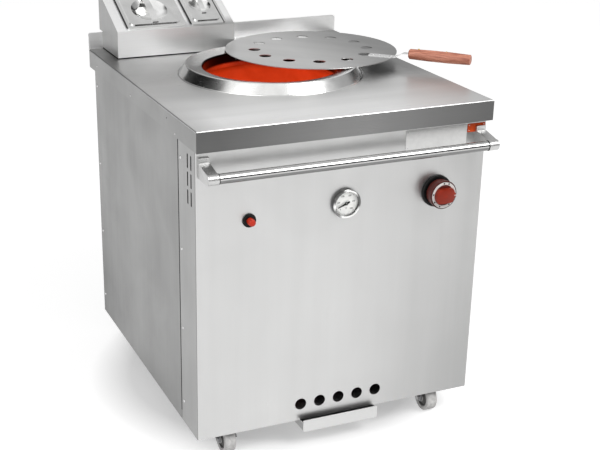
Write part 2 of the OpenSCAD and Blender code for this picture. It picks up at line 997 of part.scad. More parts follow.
module gas_valve() {
  axis = -panel_t - valve_l / 2;
  color("darkgoldenrod")
    on_front(control_x, control_z)
      difference() {
        union() {
          translate([0, 0, -panel_t - valve_l])
            cylinder(h = valve_l, r = valve_r);
          translate([0, 0, -panel_t])
            cylinder(h = panel_t + bezel_t - 1, r = neck_valve_r);
          rod([0, 0, axis], [valve_port, 0, axis], pipe_r + 3);
          rod([0, 0, axis], [0, -valve_port, axis], pipe_r + 3);
        }
        translate([0, 0, -panel_t - spindle_bore])
          cylinder(h = 2 * spindle_bore, r = spindle_r + run);
      }
}

module valve_spindle() {
  color("silver")
    on_front(control_x, control_z)
      translate([0, 0, -panel_t - spindle_in])
        cylinder(h = panel_t + spindle_in + bezel_t + knob_push + spindle_out, r = spindle_r);
}

module knob_bezel() {
  color("black")
    on_front(control_x, control_z)
      rotate_extrude()
        polygon(concat(
          [[neck_valve_r + fit, 0], [bezel_r, 0]],
          arc([bezel_r - 3, bezel_t - 3], 3, 0, 90),
          [[bezel_r - 10, bezel_t], [bezel_r - 12, bezel_t - 2], [neck_valve_r + fit, bezel_t - 2]]
        ));
}

module grip_2d() {
  nose = 5;
  tip = knob_r - 7;
  intersection() {
    circle(r = grip_r + 8);
    square([2 * knob_r, 2 * grip_r], center = true);
  }
  polygon([[grip_r, grip_r - 4], [tip, nose / 2], [tip, -nose / 2], [grip_r, 4 - grip_r]]);
}

module gas_knob() {
  back = bezel_t + knob_push + 1;
  front = back + knob_skirt;
  dome = 90;
  color("firebrick")
    on_front(control_x, control_z)
      difference() {
        union() {
          rotate_extrude()
            polygon(concat(
              [[0, back], [knob_r - 2.5, back]],
              arc([knob_r - 2.5, front - 2.5], 2.5, 0, 90),
              [[0, front]]
            ));
          intersection() {
            translate([0, 0, front - eps])
              linear_extrude(height = grip_h + eps)
                grip_2d();
            translate([0, 0, front + grip_h - dome])
              sphere(r = dome, $fn = 96);
          }
        }
        translate([0, 0, back - eps])
          cylinder(h = spindle_out + knob_push + eps, r = spindle_r + run);
        rotate_extrude()
          translate([spindle_r + 6, back - eps])
            square([knob_r - spindle_r - 12, 14]);
      }
}

module igniter_body() {
  flange = 6;
  color("black")
    on_front(-control_x, igniter_z)
      difference() {
        union() {
          rotate_extrude()
            polygon(concat(
              [[0, 0], [igniter_r, 0]],
              arc([igniter_r - 2, flange - 2], 2, 0, 90),
              [[0, flange]]
            ));
          translate([0, 0, -igniter_l])
            cylinder(h = igniter_l + eps, r = button_r + 2);
          translate([0, 0, -panel_t - 8])
            cylinder(h = 8, r = igniter_r - 2, $fn = 6);
        }
        translate([0, 0, flange - 24])
          cylinder(h = 24 + eps, r = button_r + 0.1);
      }
}

module igniter_button() {
  top = 6 + button_out;
  dome = 3;
  color("red")
    on_front(-control_x, igniter_z)
      rotate_extrude()
        polygon(concat(
          [[0, -9], [button_r, -9]],
          arc([button_r - dome, top - dome], dome, 0, 90),
          [[0, top]]
        ));
}

module spark_electrode() {
  x = mouth_x - lug_r;
  tail = front_y + igniter_l;
  run_y = tail + spark_back;
  run_z = mixer_z - spark_under;
  low = electrode_low;
  color("white") {
    rod([x, mouth_y, low], [x, mouth_y, burner_top - 4], electrode_r);
    rod([x, mouth_y, burner_top - 4 - eps], [x, mouth_y, burner_top + 10], 1.2);
    bent_tube([
      [x, mouth_y, low], [x, mouth_y, run_z], [-control_x, mouth_y, run_z],
      [-control_x, run_y, run_z], [-control_x, run_y, igniter_z], [-control_x, tail, igniter_z]
    ], lead_r, lead_bend);
  }
}

module thermocouple() {
  y = mouth_y - lug_r;
  low = electrode_low;
  run_z = mixer_z - couple_under;
  run_y = front_y + igniter_l + couple_back;
  color("peru") {
    rod([mouth_x, y, low], [mouth_x, y, burner_top + 6], electrode_r);
    bent_tube([
      [mouth_x, y, low], [mouth_x, y, run_z], [mouth_x, run_y, run_z], [control_x, run_y, run_z],
      [control_x, run_y, control_z], [control_x, inner_front + valve_l, control_z]
    ], lead_r, lead_bend);
  }
}

// Thermometer

module gauge_case() {
  wall_r = gauge_r - 2;
  seat_r = gauge_r - 5;
  color("gainsboro")
    on_front(0, control_z)
      rotate_extrude()
        polygon(concat(
          [[probe_r + fit, -14], [gauge_neck, -14], [gauge_neck, 0], [wall_r, 0], [wall_r, gauge_d - 5], [gauge_r, gauge_d - 5]],
          arc([gauge_r - 2.5, gauge_d - 2.5], 2.5, 0, 90),
          [[gauge_r - 5.5, gauge_d], [seat_r - 1.5, gauge_d - 2], [seat_r, gauge_d - 2], [seat_r, 2], [probe_r + fit, 2]]
        ));
}

module gauge_dial() {
  color("white")
    on_front(0, control_z) {
      translate([0, 0, 2])
        cylinder(h = 1.2, r = gauge_r - 5 - fit);
      translate([0, 0, 2])
        cylinder(h = gauge_d - 6.5, r = 1);
    }
}

module gauge_needle() {
  tip = gauge_r - 13;
  tail = 9;
  color("black")
    on_front(0, control_z)
      translate([0, 0, gauge_d - 7])
        rotate([0, 0, needle_a])
          difference() {
            union() {
              cylinder(h = 1.8, r = 3.5);
              linear_extrude(height = 0.8)
                polygon([[-tail, 1.4], [-tail, -1.4], [0, -1.6], [tip, -0.4], [tip, 0.4], [0, 1.6]]);
            }
            translate([0, 0, -eps])
              cylinder(h = 4, r = 1 + run);
          }
}

module gauge_glass() {
  color("lightblue", 0.4)
    on_front(0, control_z)
      translate([0, 0, gauge_d - 4])
        cylinder(h = 2, r = gauge_r - 5 - fit / 2);
}

module gauge_probe() {
  big = bulge_r(belly_r - pot_neck_r - pot_wall);
  pot_r = belly_r - big + sqrt(pow(big, 2) - pow(control_z - belly_z, 2));
  pot_front = mouth_y - sqrt(pow(pot_r, 2) - pow(mouth_x, 2));
  color("silver") {
    rod([0, front_y - 1, control_z], [0, pot_front - 1, control_z], probe_r);
    rod([0, front_y + 14, control_z], [0, front_y + 22, control_z], gauge_neck);
  }
}

// Towel rail

module rail_bar() {
  x = bracket_x - bracket_w;
  color("gainsboro") {
    rod([-x, bar_y, bar_z], [x, bar_y, bar_z], bar_r);
    rod([-x - spigot_l, bar_y, bar_z], [x + spigot_l, bar_y, bar_z], spigot_r);
  }
}

module rail_bracket() {
  leaf = 8;
  leaf_top = 36;
  shoulder = 24;
  color("gainsboro")
    difference() {
      translate([bracket_x - bracket_w / 2, 0, bar_z])
        side_profile(bracket_w) {
          translate([front_y - leaf, -boss_r])
            square([leaf, boss_r + leaf_top]);
          polygon([
            [bar_y, -boss_r], [front_y - leaf, -boss_r], [front_y - leaf, shoulder],
            [bar_y + boss_r * sin(14), boss_r * cos(14)], [bar_y, boss_r]
          ]);
          translate([bar_y, 0])
            circle(r = boss_r);
        }
      rod([bracket_x - bracket_w - eps, bar_y, bar_z], [bracket_x - bracket_w + spigot_l + fit, bar_y, bar_z], spigot_r + fit / 3);
    }
}

module rail_bracket_left() {
  mirror([1, 0, 0])
    rail_bracket();
}

module rail_bracket_right() {
  rail_bracket();
}

// Drip tray

module drip_tray() {
  low = tray_top - tray_h;
  w = tray_w / 2;
  color("lightgray")
    difference() {
      union() {
        intersection() {
          box([-w, tray_front, low], [w, tray_rear, tray_top]);
          translate([0, tray_front - eps, (low + tray_top) / 2])
            rotate([-90, 0, 0])
              linear_extrude(height = tray_l + 2 * eps)
                rounded(tray_w, tray_h, 6);
        }
        box([-w, tray_front + 2, low + tray_h / 2], [w, tray_rear, tray_top]);
        box([-w, tray_front, low + tray_h / 2], [w, tray_front + tray_t, tray_top + tray_lip]);
        for (s = [-1, 1])
          scale([s, 1, 1])
            box([w - tray_t, runner_front + 2, tray_top - tray_t], [w + tray_flange, tray_rear, tray_top]);
      }
      box([-w + tray_t, tray_front + tray_t, low + 6], [w - tray_t, tray_rear - tray_t, tray_top + eps]);
      box([-w + 6, tray_front + tray_t, low + tray_t], [w - 6, tray_rear - tray_t, low + 6 + eps]);
    }
}

module tray_runners() {
  foot = tray_w / 2 + fit + 1;
  web = tray_w / 2 + tray_flange + 1;
  foot_top = tray_top - tray_t - fit;
  color("slategray")
    for (s = [-1, 1])
      scale([s, 1, 1]) {
        box([web, runner_front, foot_top - runner_t], [web + runner_t, tray_rear + 12, base_z]);
        box([foot, runner_front, foot_top - runner_t], [web + runner_t, tray_rear + 12, foot_top]);
        box([web, runner_front, base_z - runner_t], [web + 14, tray_rear + 12, base_z]);
        box([foot, tray_rear + 2, foot_top - runner_t], [web + runner_t, tray_rear + 2 + runner_t, tray_top + 6]);
      }
}

// Casters

module caster_plates() {
  head = 9;
  color("silver")
    for (c = casters)
      translate([c[0], c[1], 0]) {
        translate([0, 0, base_z - plate_t / 2])
          cube([plate_w, plate_d, plate_t], center = true);
        translate([0, 0, crown_top + 7 + fit])
          cylinder(h = base_z - crown_top - 7 - fit, r = race_r);
        translate([0, 0, crown_top - 5])
          cylinder(h = base_z - crown_top + 5, r = pivot_r);
        translate([0, 0, crown_top - 6])
          cylinder(h = 6 - fork_t - fit, r = head);
      }
}

module fork(i) {
  wide = leg_gap + fork_t;
  color("gray")
    translate([casters[i][0], casters[i][1], 0])
      difference() {
        union() {
          box([-wide, -trail - 6, crown_top - fork_t], [wide, 18, crown_top]);
          translate([0, 0, crown_top - fork_t])
            cylinder(h = fork_t + 7, r = 20);
          for (s = [-1, 1])
            translate([s * (leg_gap + fork_t / 2), 0, 0])
              side_profile(fork_t) {
                polygon([
                  [18, crown_top], [-trail - 6, crown_top], [-trail - 11, wheel_r],
                  [-trail, wheel_r - 11], [-trail + 9, wheel_r - 6]
                ]);
                translate([-trail, wheel_r])
                  circle(r = 11);
              }
        }
        translate([0, 0, crown_top - 10])
          cylinder(h = 30, r = pivot_r + run);
        rod([-wide - eps, -trail, wheel_r], [wide + eps, -trail, wheel_r], axle_r + run);
      }
}

module axle(i) {
  wide = leg_gap + fork_t;
  color("silver")
    translate([casters[i][0], casters[i][1] - trail, wheel_r]) {
      rod([-wide - 3, 0, 0], [wide + 3, 0, 0], axle_r);
      rod([-wide - 3, 0, 0], [-wide, 0, 0], axle_r + 3);
      rod([wide, 0, 0], [wide + 3, 0, 0], axle_r + 3);
    }
}

module wheel(i) {
  h = wheel_w / 2;
  hub = h + 2;
  r = wheel_r;
  bore = axle_r + run;
  half = concat([[bore, hub], [12, hub], [12, 5], [r - 12, 5], [r - 12, h - 3], [r - 9, h]], arc([r - 5, h - 5], 5, 90, 0, 4));
  color("darkgray")
    translate([casters[i][0], casters[i][1] - trail, wheel_r])
      rotate([0, 90, 0])
        rotate_extrude()
          polygon(concat(half, [for (k = [len(half) - 1:-1:0]) [half[k][0], -half[k][1]]]));
}

module fork_front_left() {
  fork(0);
}

module fork_front_right() {
  fork(1);
}

module fork_rear_left() {
  fork(2);
}

module fork_rear_right() {
  fork(3);
}

module axle_front_left() {
  axle(0);
}

module axle_front_right() {
  axle(1);
}

module axle_rear_left() {
  axle(2);
}

module axle_rear_right() {
  axle(3);
}

module wheel_front_left() {
  wheel(0);
}

module wheel_front_right() {
  wheel(1);
}

module wheel_rear_left() {
  wheel(2);
}

module wheel_rear_right() {
  wheel(3);
}

// Mouth lid

module on_lid() {
  translate([lid_x, lid_y, lid_z])
    rotate([0, 0, handle_a])
      children();
}

module mouth_lid() {
  color("lightgray")
    on_lid()
      difference() {
        cylinder(h = lid_t, r = lid_r);
        for (i = [0:lid_hole_n - 1])
          rotate([0, 0, i * 360 / lid_hole_n])
            translate([lid_ring_r, 0, -eps])
              cylinder(h = lid_t + 2 * eps, r = lid_hole_r);
      }
}

module lid_strap() {
  low = lid_t + strap_rise;
  knee = strap_knee + strap_run;
  color("silver")
    on_lid() {
      rotate([90, 0, 0])
        linear_extrude(height = strap_w, center = true)
          polygon([
            [strap_start, lid_t], [strap_knee + 1, lid_t], [knee + 1, low], [strap_narrow, low],
            [strap_narrow, low + strap_t], [knee, low + strap_t], [strap_knee, lid_t + strap_t],
            [strap_start, lid_t + strap_t]
          ]);
      box([strap_narrow - eps, -strap_w / 4, low], [tang_end, strap_w / 4, low + strap_t]);
    }
}

module lid_grip() {
  mid = lid_t + strap_rise + strap_t / 2;
  end_r = wood_r - 1.5;
  color("sienna")
    on_lid()
      difference() {
        translate([wood_start, 0, mid])
          rotate([0, 90, 0])
            rotate_extrude()
              polygon(concat(
                [[0, 0], [end_r - 3, 0], [end_r, 3], [wood_r, wood_l / 3], [wood_r, wood_l * 2 / 3]],
                arc([end_r - 3, wood_l - 3], 3, 0, 90),
                [[0, wood_l]]
              ));
        box([wood_start - eps, -strap_w / 4 - fit, mid - strap_t / 2 - fit], [tang_end + fit, strap_w / 4 + fit, mid + strap_t / 2 + fit]);
      }
}

// Pan stand, pans and their lids

function deck_z(y) = work_h + stand_h + (y - stand_front) * tan(deck_a);

module stand_outline() {
  polygon([
    [stand_front, work_h], [stand_front, deck_z(stand_front)], [over_y, deck_z(over_y)],
    [over_y, over_z], [stand_rear, over_z], [stand_rear, work_h]
  ]);
}

module stand_hollow() {
  t = stand_t;
  skin = t / cos(deck_a);
  polygon([
    [stand_front + t, work_h - eps], [stand_front + t, deck_z(stand_front + t) - skin],
    [over_y - t, deck_z(over_y - t) - skin], [over_y - t, over_z + t],
    [stand_rear - t, over_z + t], [stand_rear - t, work_h - eps]
  ]);
}

module pan_cut(x, w, l) {
  on_deck(x, pan_margin + l / 2)
    linear_extrude(height = 20, center = true)
      rounded(w - 2 * pan_rim + 2 * eps, l - 2 * pan_rim + 2 * eps, pan_r);
}

module pan_stand() {
  color("lightgray")
    difference() {
      translate([stand_x + stand_w / 2, 0, 0])
        side_profile(stand_w)
          stand_outline();
      translate([stand_x + stand_w / 2, 0, 0])
        side_profile(stand_w - 2 * stand_t)
          stand_hollow();
      pan_cut(pan_1_x, pan_1_w, pan_1_l);
      pan_cut(pan_2_x, pan_2_w, pan_2_l);
    }
}

module pan(x, w, l) {
  body_w = w - 2 * pan_rim;
  body_l = l - 2 * pan_rim;
  shoulder = 18;
  color("silver")
    on_deck(x, pan_margin + l / 2)
      difference() {
        union() {
          translate([0, 0, fit])
            linear_extrude(height = pan_rim_top - fit)
              rounded(w, l, pan_rim + 4);
          translate([0, 0, -shoulder])
            linear_extrude(height = shoulder + fit + eps)
              rounded(body_w, body_l, pan_r);
          translate([0, 0, -pan_depth])
            linear_extrude(height = pan_depth)
              rounded(body_w - 2 * pan_step, body_l - 2 * pan_step, pan_r - pan_step);
        }
        translate([0, 0, -shoulder + pan_t])
          linear_extrude(height = shoulder + 10)
            rounded(body_w - 2 * pan_t, body_l - 2 * pan_t, pan_r - pan_t);
        translate([0, 0, -pan_depth + pan_t])
          linear_extrude(height = pan_depth)
            rounded(body_w - 2 * pan_step - 2 * pan_t, body_l - 2 * pan_step - 2 * pan_t, pan_r - pan_step - pan_t);
      }
}

module large_pan() {
  pan(pan_1_x, pan_1_w, pan_1_l);
}

module small_pan() {
  pan(pan_2_x, pan_2_w, pan_2_l);
}

module pan_lid(x, w, l, dish_r, dish_d) {
  hem = 2 * (cover_t + fit);
  corner = pan_rim + 5;
  ball = (dish_r * dish_r + dish_d * dish_d) / (2 * dish_d);
  raised_w = w - 2 * cover_border;
  raised_l = l - 2 * cover_border;
  color("gainsboro")
    on_deck(x, pan_margin + l / 2)
      difference() {
        union() {
          difference() {
            union() {
              translate([0, 0, 2 * fit])
                linear_extrude(height = cover_top - 2 * fit)
                  rounded(w + hem, l + hem, corner);
              translate([0, 0, cover_top - eps])
                linear_extrude(height = cover_rise + eps)
                  rounded(raised_w, raised_l, corner);
            }
            translate([0, 0, -eps])
              linear_extrude(height = pan_rim_top + fit + eps)
                rounded(w + 2 * fit, l + 2 * fit, corner - cover_t);
            linear_extrude(height = panel_n - cover_t)
              rounded(raised_w - 2 * cover_t, raised_l - 2 * cover_t, corner - cover_t);
          }
          intersection() {
            translate([0, 0, panel_n - dish_d + ball])
              sphere(r = ball + cover_t, $fn = 72);
            translate([0, 0, panel_n - dish_d - 3])
              cylinder(h = dish_d + 3, r = dish_r + 3);
          }
        }
        translate([0, 0, panel_n - dish_d + ball])
          sphere(r = ball, $fn = 72);
      }
}

module large_pan_lid() {
  pan_lid(pan_1_x, pan_1_w, pan_1_l, dish_1_r, dish_1_d);
}

module small_pan_lid() {
  pan_lid(pan_2_x, pan_2_w, pan_2_l, dish_2_r, dish_2_d);
}

module bar_handle(x, l, dish_r, width) {
  half = dish_r + 1;
  foot = half + 9;
  big = (half * half + pull_rise * pull_rise) / (2 * pull_rise);
  c = [0, pull_rise - big];
  low_a = asin(-c[1] / big);
  top_a = asin((pull_t - c[1]) / (big + pull_t));
  color("gainsboro")
    on_deck(x, pan_margin + l / 2)
      translate([0, 0, panel_n])
        side_profile(width)
          polygon(concat(
            [[foot, 0], [foot, pull_t]],
            arc(c, big + pull_t, top_a, 180 - top_a, 16),
            [[-foot, pull_t], [-foot, 0]],
            arc(c, big, 180 - low_a, low_a, 16)
          ));
}

module large_lid_handle() {
  bar_handle(pan_1_x, pan_1_l, dish_1_r, 18);
}

module small_lid_handle() {
  bar_handle(pan_2_x, pan_2_l, dish_2_r, 14);
}

base_pan();
corner_posts();
top_rails();
front_panel();
left_panel();
right_panel();
rear_panel();
worktop();
mouth_collar();
clay_pot();
pot_insulation();
drum_shell();
seat_plate();
ring_burner();
flame_deflector();
mixer_tube();
injector();
feed_pipe();
supply_pipe();
gas_valve();
valve_spindle();
knob_bezel();
gas_knob();
igniter_body();
igniter_button();
spark_electrode();
thermocouple();
gauge_case();
gauge_dial();
gauge_needle();
gauge_glass();
gauge_probe();
rail_bar();
rail_bracket_left();
rail_bracket_right();
tray_runners();
drip_tray();
caster_plates();
fork_front_left();
axle_front_left();
wheel_front_left();
fork_front_right();
axle_front_right();
wheel_front_right();
fork_rear_left();
axle_rear_left();
wheel_rear_left();
fork_rear_right();
axle_rear_right();
wheel_rear_right();
mouth_lid();
lid_strap();
lid_grip();
pan_stand();
large_pan();
small_pan();
large_pan_lid();
small_pan_lid();
large_lid_handle();
small_lid_handle();
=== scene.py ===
"""Looks of a gas tandoor in a steel cabinet on casters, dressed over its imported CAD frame.

Everything is in metres and in the CAD's frame: the origin is on the floor under the middle of the
worktop, +X is to the right as seen from in front of the controls, +Y is to the back and +Z is up.
"""

import json
import logging
import math
from dataclasses import dataclass, field
from enum import Enum

import bmesh
import bpy
from mathutils import Matrix, Vector

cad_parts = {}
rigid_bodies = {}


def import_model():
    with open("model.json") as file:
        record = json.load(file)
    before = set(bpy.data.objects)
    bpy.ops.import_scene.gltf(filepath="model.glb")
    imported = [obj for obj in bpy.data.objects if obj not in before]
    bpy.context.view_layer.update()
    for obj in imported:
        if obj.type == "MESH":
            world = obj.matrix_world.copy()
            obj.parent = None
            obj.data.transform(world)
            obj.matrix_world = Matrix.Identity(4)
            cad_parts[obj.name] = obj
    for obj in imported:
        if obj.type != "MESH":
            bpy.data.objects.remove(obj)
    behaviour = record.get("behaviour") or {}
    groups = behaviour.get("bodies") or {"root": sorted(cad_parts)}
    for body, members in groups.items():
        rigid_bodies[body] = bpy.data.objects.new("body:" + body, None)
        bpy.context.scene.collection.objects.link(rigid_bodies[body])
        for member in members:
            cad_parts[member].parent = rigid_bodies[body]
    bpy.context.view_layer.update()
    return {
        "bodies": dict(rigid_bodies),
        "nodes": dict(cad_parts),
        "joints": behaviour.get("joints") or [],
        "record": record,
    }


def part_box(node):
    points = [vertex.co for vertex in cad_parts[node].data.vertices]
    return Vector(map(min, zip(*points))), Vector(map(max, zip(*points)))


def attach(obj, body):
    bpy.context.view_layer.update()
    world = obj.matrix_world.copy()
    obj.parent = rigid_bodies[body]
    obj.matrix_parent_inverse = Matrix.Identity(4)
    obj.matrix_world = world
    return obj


LOG = logging.getLogger("tandoor")

Colour = tuple[float, float, float]
Triple = tuple[float, float, float]
Outline = list[tuple[float, float]]
Points = tuple[tuple[float, float], ...]
Socket = bpy.types.NodeSocket

CREASE = math.radians(35)  # edges sharper than this stay crisp
BEVEL_FROM = 0.5  # edges sharper than this are rounded, in radians
BEVEL_STEPS = 2
WORKTOP_Z = 0.9
CONTROLS_Z = 0.669
MOUTH = (-0.014, 0.006, 0.0)
LID_TURN = 46.5


class Axis(Enum):
    """What a zone is measured along: an axis of the object, or the distance from a spun piece's middle."""

    X = 0
    Y = 1
    Z = 2
    ROUND = 3


X, Y, Z, ROUND = Axis


class Grain(Enum):
    """Direction of the brushing on a sheet of steel, as the scales of its fine and its broad streaks."""

    SIDEWAYS = ((5.0, 900.0, 900.0), (1.25, 18.0, 18.0))
    UPRIGHT = ((900.0, 900.0, 5.0), (18.0, 18.0, 1.25))


class Facing(Enum):
    """Direction in which a fastener looks."""

    LEFT = (-1.0, 0.0, 0.0)
    RIGHT = (1.0, 0.0, 0.0)
    FRONT = (0.0, -1.0, 0.0)
    BACK = (0.0, 1.0, 0.0)
    UP = (0.0, 0.0, 1.0)


def tint(colour: Colour, factor: float) -> Colour:
    """A colour made lighter or darker by a factor."""
    return tuple(min(1.0, c * factor) for c in colour)


def grey(level: float) -> Colour:
    """The neutral tone of bare steel."""
    return (level, level, level * 0.993)


def put(name: str, data: bpy.types.ID) -> bpy.types.Object:
    """Makes an object of some data and puts it in the scene."""
    made = bpy.data.objects.new(name, data)
    bpy.context.scene.collection.objects.link(made)
    return made


def plain_mesh(holder: bpy.types.Object) -> bpy.types.Mesh:
    """The mesh that an object's curve or modifiers give."""
    bpy.context.view_layer.update()
    graph = bpy.context.evaluated_depsgraph_get()
    return bpy.data.meshes.new_from_object(holder.evaluated_get(graph), depsgraph=graph)


def crease(mesh: bpy.types.Mesh) -> bpy.types.Mesh:
    """Shades a mesh smooth, but for its sharp edges."""
    mesh.shade_smooth()
    mesh.set_sharp_from_angle(angle=CREASE)
    return mesh


class Nodes:
    """A node tree, with short calls for what is built in it."""

    def __init__(self, tree: bpy.types.NodeTree) -> None:
        """Takes the tree."""
        self.tree = tree

    def feed(self, socket: Socket, value: object) -> None:
        """Links a socket to a source socket, or gives it a plain value."""
        if isinstance(value, Socket):
            self.tree.links.new(value, socket)
        else:
            socket.default_value = value

    def node(self, kind: str, inputs: dict | None = None, **settings: object) -> bpy.types.Node:
        """Adds a node.

        Args:
            kind: Blender's name for the node's type.
            inputs: Values or source sockets for its inputs, by name or index.
            settings: Properties of the node.

        Returns:
            The new node.
        """
        made = self.tree.nodes.new(kind)
        for key, value in settings.items():
            setattr(made, key, value)
        for key, value in (inputs or {}).items():
            self.feed(made.inputs[key], value)
        return made

    def join(self, operation: str, first: Socket, second: Socket | float) -> Socket:
        """Joins two values by one sum, product or other step of arithmetic."""
        return self.node("ShaderNodeMath", {0: first, 1: second}, operation=operation).outputs[0]

    def span(self, value: Socket, start: float, end: float, low: float = 0.0, high: float = 1.0,
             **settings: object) -> Socket:
        """Maps a range of a value to another range, and holds it there.

        Args:
            value: The socket to map.
            start: Value that gives low.
            end: Value that gives high.
            low: Result at start.
            high: Result at end.
            settings: Properties of the node.

        Returns:
            The socket with the result.
        """
        inputs = {"Value": value, "From Min": start, "From Max": end, "To Min": low, "To Max": high}
        return self.node("ShaderNodeMapRange", inputs, **settings).outputs["Result"]


# Materials


@dataclass(frozen=True)
class Zone:
    """A part of a sheet painted lighter or darker than the rest, as painted light and shade.

    Each bound is an axis, the place along it where the part begins to show and the place where it shows in full.
    """

    bounds: tuple[tuple[Axis, float, float], ...]
    tone: float


class Paint(Nodes):
    """The node tree of one material, with short calls for the patterns that the finishes use."""

    def __init__(self, name: str, tone: Colour, roughness: float, metallic: float = 0.0) -> None:
        """Starts a material with plain values on its shader.

        Args:
            name: Name of the material.
            tone: Base colour, linear.
            roughness: Roughness of the surface.
            metallic: 1 for bare metal.
        """
        self.material = bpy.data.materials.new(name)
        self.material.use_nodes = True
        super().__init__(self.material.node_tree)
        self.shader = self.tree.nodes["Principled BSDF"]
        self.fix("Base Color", (*tone, 1.0))
        self.fix("Roughness", roughness)
        self.fix("Metallic", metallic)

    def fix(self, socket: str, value: float | tuple) -> None:
        """Sets a value that is the same all over the surface on the shader's own socket."""
        self.shader.inputs[socket].default_value = value

    def drive(self, socket: str, source: Socket) -> None:
        """Feeds one of the shader's sockets from a pattern."""
        self.tree.links.new(source, self.shader.inputs[socket])

    def place(self, turn: Triple = (0, 0, 0), shift: Triple = (0, 0, 0)) -> Socket:
        """Object coordinates, turned and then moved.

        Args:
            turn: Turn about X, Y and Z in degrees.
            shift: Move in metres, after the turn.

        Returns:
            The vector socket.
        """
        angles = tuple(math.radians(a) for a in turn)
        coords = self.node("ShaderNodeTexCoord").outputs["Object"]
        return self.node("ShaderNodeMapping", {"Vector": coords, "Rotation": angles, "Location": shift}).outputs[0]

    def stretch(self, vector: Socket, scale: Triple) -> Socket:
        """Scales a vector along its axes."""
        return self.node("ShaderNodeMapping", {"Vector": vector, "Scale": scale}).outputs[0]

    def cloud(self, vector: Socket, scale: float, detail: float = 3.0, warp: float = 0.0) -> Socket:
        """A soft noise between 0 and 1.

        Args:
            vector: Where the noise is read.
            scale: Size of its features, per metre.
            detail: Octaves of finer noise.
            warp: How much the noise bends its own coordinates.

        Returns:
            The socket with the noise.
        """
        inputs = {"Vector": vector, "Scale": scale, "Detail": detail, "Distortion": warp}
        return self.node("ShaderNodeTexNoise", inputs).outputs[0]

    def drawn(self, vector: Socket, scale: Triple, detail: float = 2.0, warp: float = 0.0) -> Socket:
        """A noise that is drawn out along one axis, as brush marks and wood grain are."""
        return self.cloud(self.stretch(vector, scale), 1.0, detail, warp)

    def cells(self, vector: Socket, scale: float) -> Socket:
        """Distance to the nearest of a field of scattered points."""
        return self.node("ShaderNodeTexVoronoi", {"Vector": vector, "Scale": scale}).outputs["Distance"]

    def blend(self, first: Socket, share: float, second: Socket, other: float) -> Socket:
        """Adds two patterns, each with its own share."""
        return self.join("ADD", self.join("MULTIPLY", first, share), self.join("MULTIPLY", second, other))

    def shade(self, factor: Socket, low: Colour | Socket, high: Colour | Socket) -> Socket:
        """Goes from one colour to another.

        Args:
            factor: 0 for the first colour and 1 for the second.
            low: First colour, or a socket that holds it.
            high: Second colour, or a socket that holds it.

        Returns:
            The colour socket.
        """
        mix = self.node("ShaderNodeMix", {0: factor}, data_type="RGBA")
        for index, value in ((6, low), (7, high)):
            self.feed(mix.inputs[index], value if isinstance(value, Socket) else (*value, 1.0))
        return mix.outputs[2]

    def mottle(self, pattern: Socket, tone: Colour, dark: float, light: float) -> Socket:
        """A tone that a pattern makes darker and lighter by two factors."""
        return self.shade(pattern, tint(tone, dark), tint(tone, light))

    def along(self, axis: Axis, centre: Triple = (0, 0, 0)) -> Socket:
        """One coordinate of the object, or the distance from an upright line.

        Args:
            axis: What is measured.
            centre: Where the upright line stands.

        Returns:
            The socket with the value.
        """
        if axis is not ROUND:
            return self.node("ShaderNodeSeparateXYZ", {0: self.place()}).outputs[axis.value]
        flat = self.stretch(self.place(shift=tuple(-c for c in centre)), (1.0, 1.0, 0.0))
        return self.node("ShaderNodeVectorMath", {0: flat}, operation="LENGTH").outputs["Value"]

    def overlay(self, zones: tuple[Zone, ...], colour: Socket, pattern: Socket, spread: float,
                centre: Triple = (0, 0, 0)) -> Socket:
        """Lays the painted light and shade of some zones over a colour.

        Args:
            zones: The zones, the last on top.
            colour: The colour under them.
            pattern: Pattern of the brushing.
            spread: How much the pattern lightens and darkens each tone.
            centre: Middle of a spun piece.

        Returns:
            The colour socket.
        """
        for zone in zones:
            mask = None
            for axis, start, end in zone.bounds:
                level = self.span(self.along(axis, centre), start, end)
                mask = level if mask is None else self.join("MULTIPLY", mask, level)
            colour = self.shade(mask, colour, self.mottle(pattern, grey(zone.tone), 1.0 - spread, 1.0 + spread))
        return colour

    def relief(self, height: Socket, strength: float, depth: float) -> None:
        """Gives the surface small bumps.

        Args:
            height: Pattern of the bumps.
            strength: How much of them shows.
            depth: Their height in metres.
        """
        bump = self.node("ShaderNodeBump", {"Height": height, "Strength": strength, "Distance": depth})
        self.drive("Normal", bump.outputs["Normal"])


@dataclass(frozen=True)
class BrushedSteel:
    """Sheet steel with a brushed grain, broad soft streaks and faint smudges."""

    name: str
    tone: Colour
    roughness: float
    grain: Grain
    turn: Triple = (0, 0, 0)
    streak: float = 0.05
    zones: tuple[Zone, ...] = ()
    metallic: float = 1.0

    def build(self) -> bpy.types.Material:
        """Makes the material."""
        paint = Paint(self.name, self.tone, self.roughness, self.metallic)
        here = paint.place(self.turn)
        fine, broad = (paint.drawn(here, scale) for scale in self.grain.value)
        smudge = paint.cloud(here, 6.0, 4.0, 0.6)
        mixed = paint.blend(fine, 0.45, broad, 0.55)
        lit = paint.span(mixed, 0.32, 0.68)
        colour = paint.mottle(lit, self.tone, 1.0 - self.streak, 1.0 + self.streak)
        paint.drive("Base Color", paint.overlay(self.zones, colour, lit, 1.5 * self.streak))
        rough = paint.join("ADD", paint.span(fine, 0.3, 0.7, -0.05, 0.05),
                           paint.span(smudge, 0.3, 0.75, self.roughness - 0.04, self.roughness + 0.07))
        paint.drive("Roughness", rough)
        paint.relief(mixed, 0.12, 0.0003)
        return paint.material


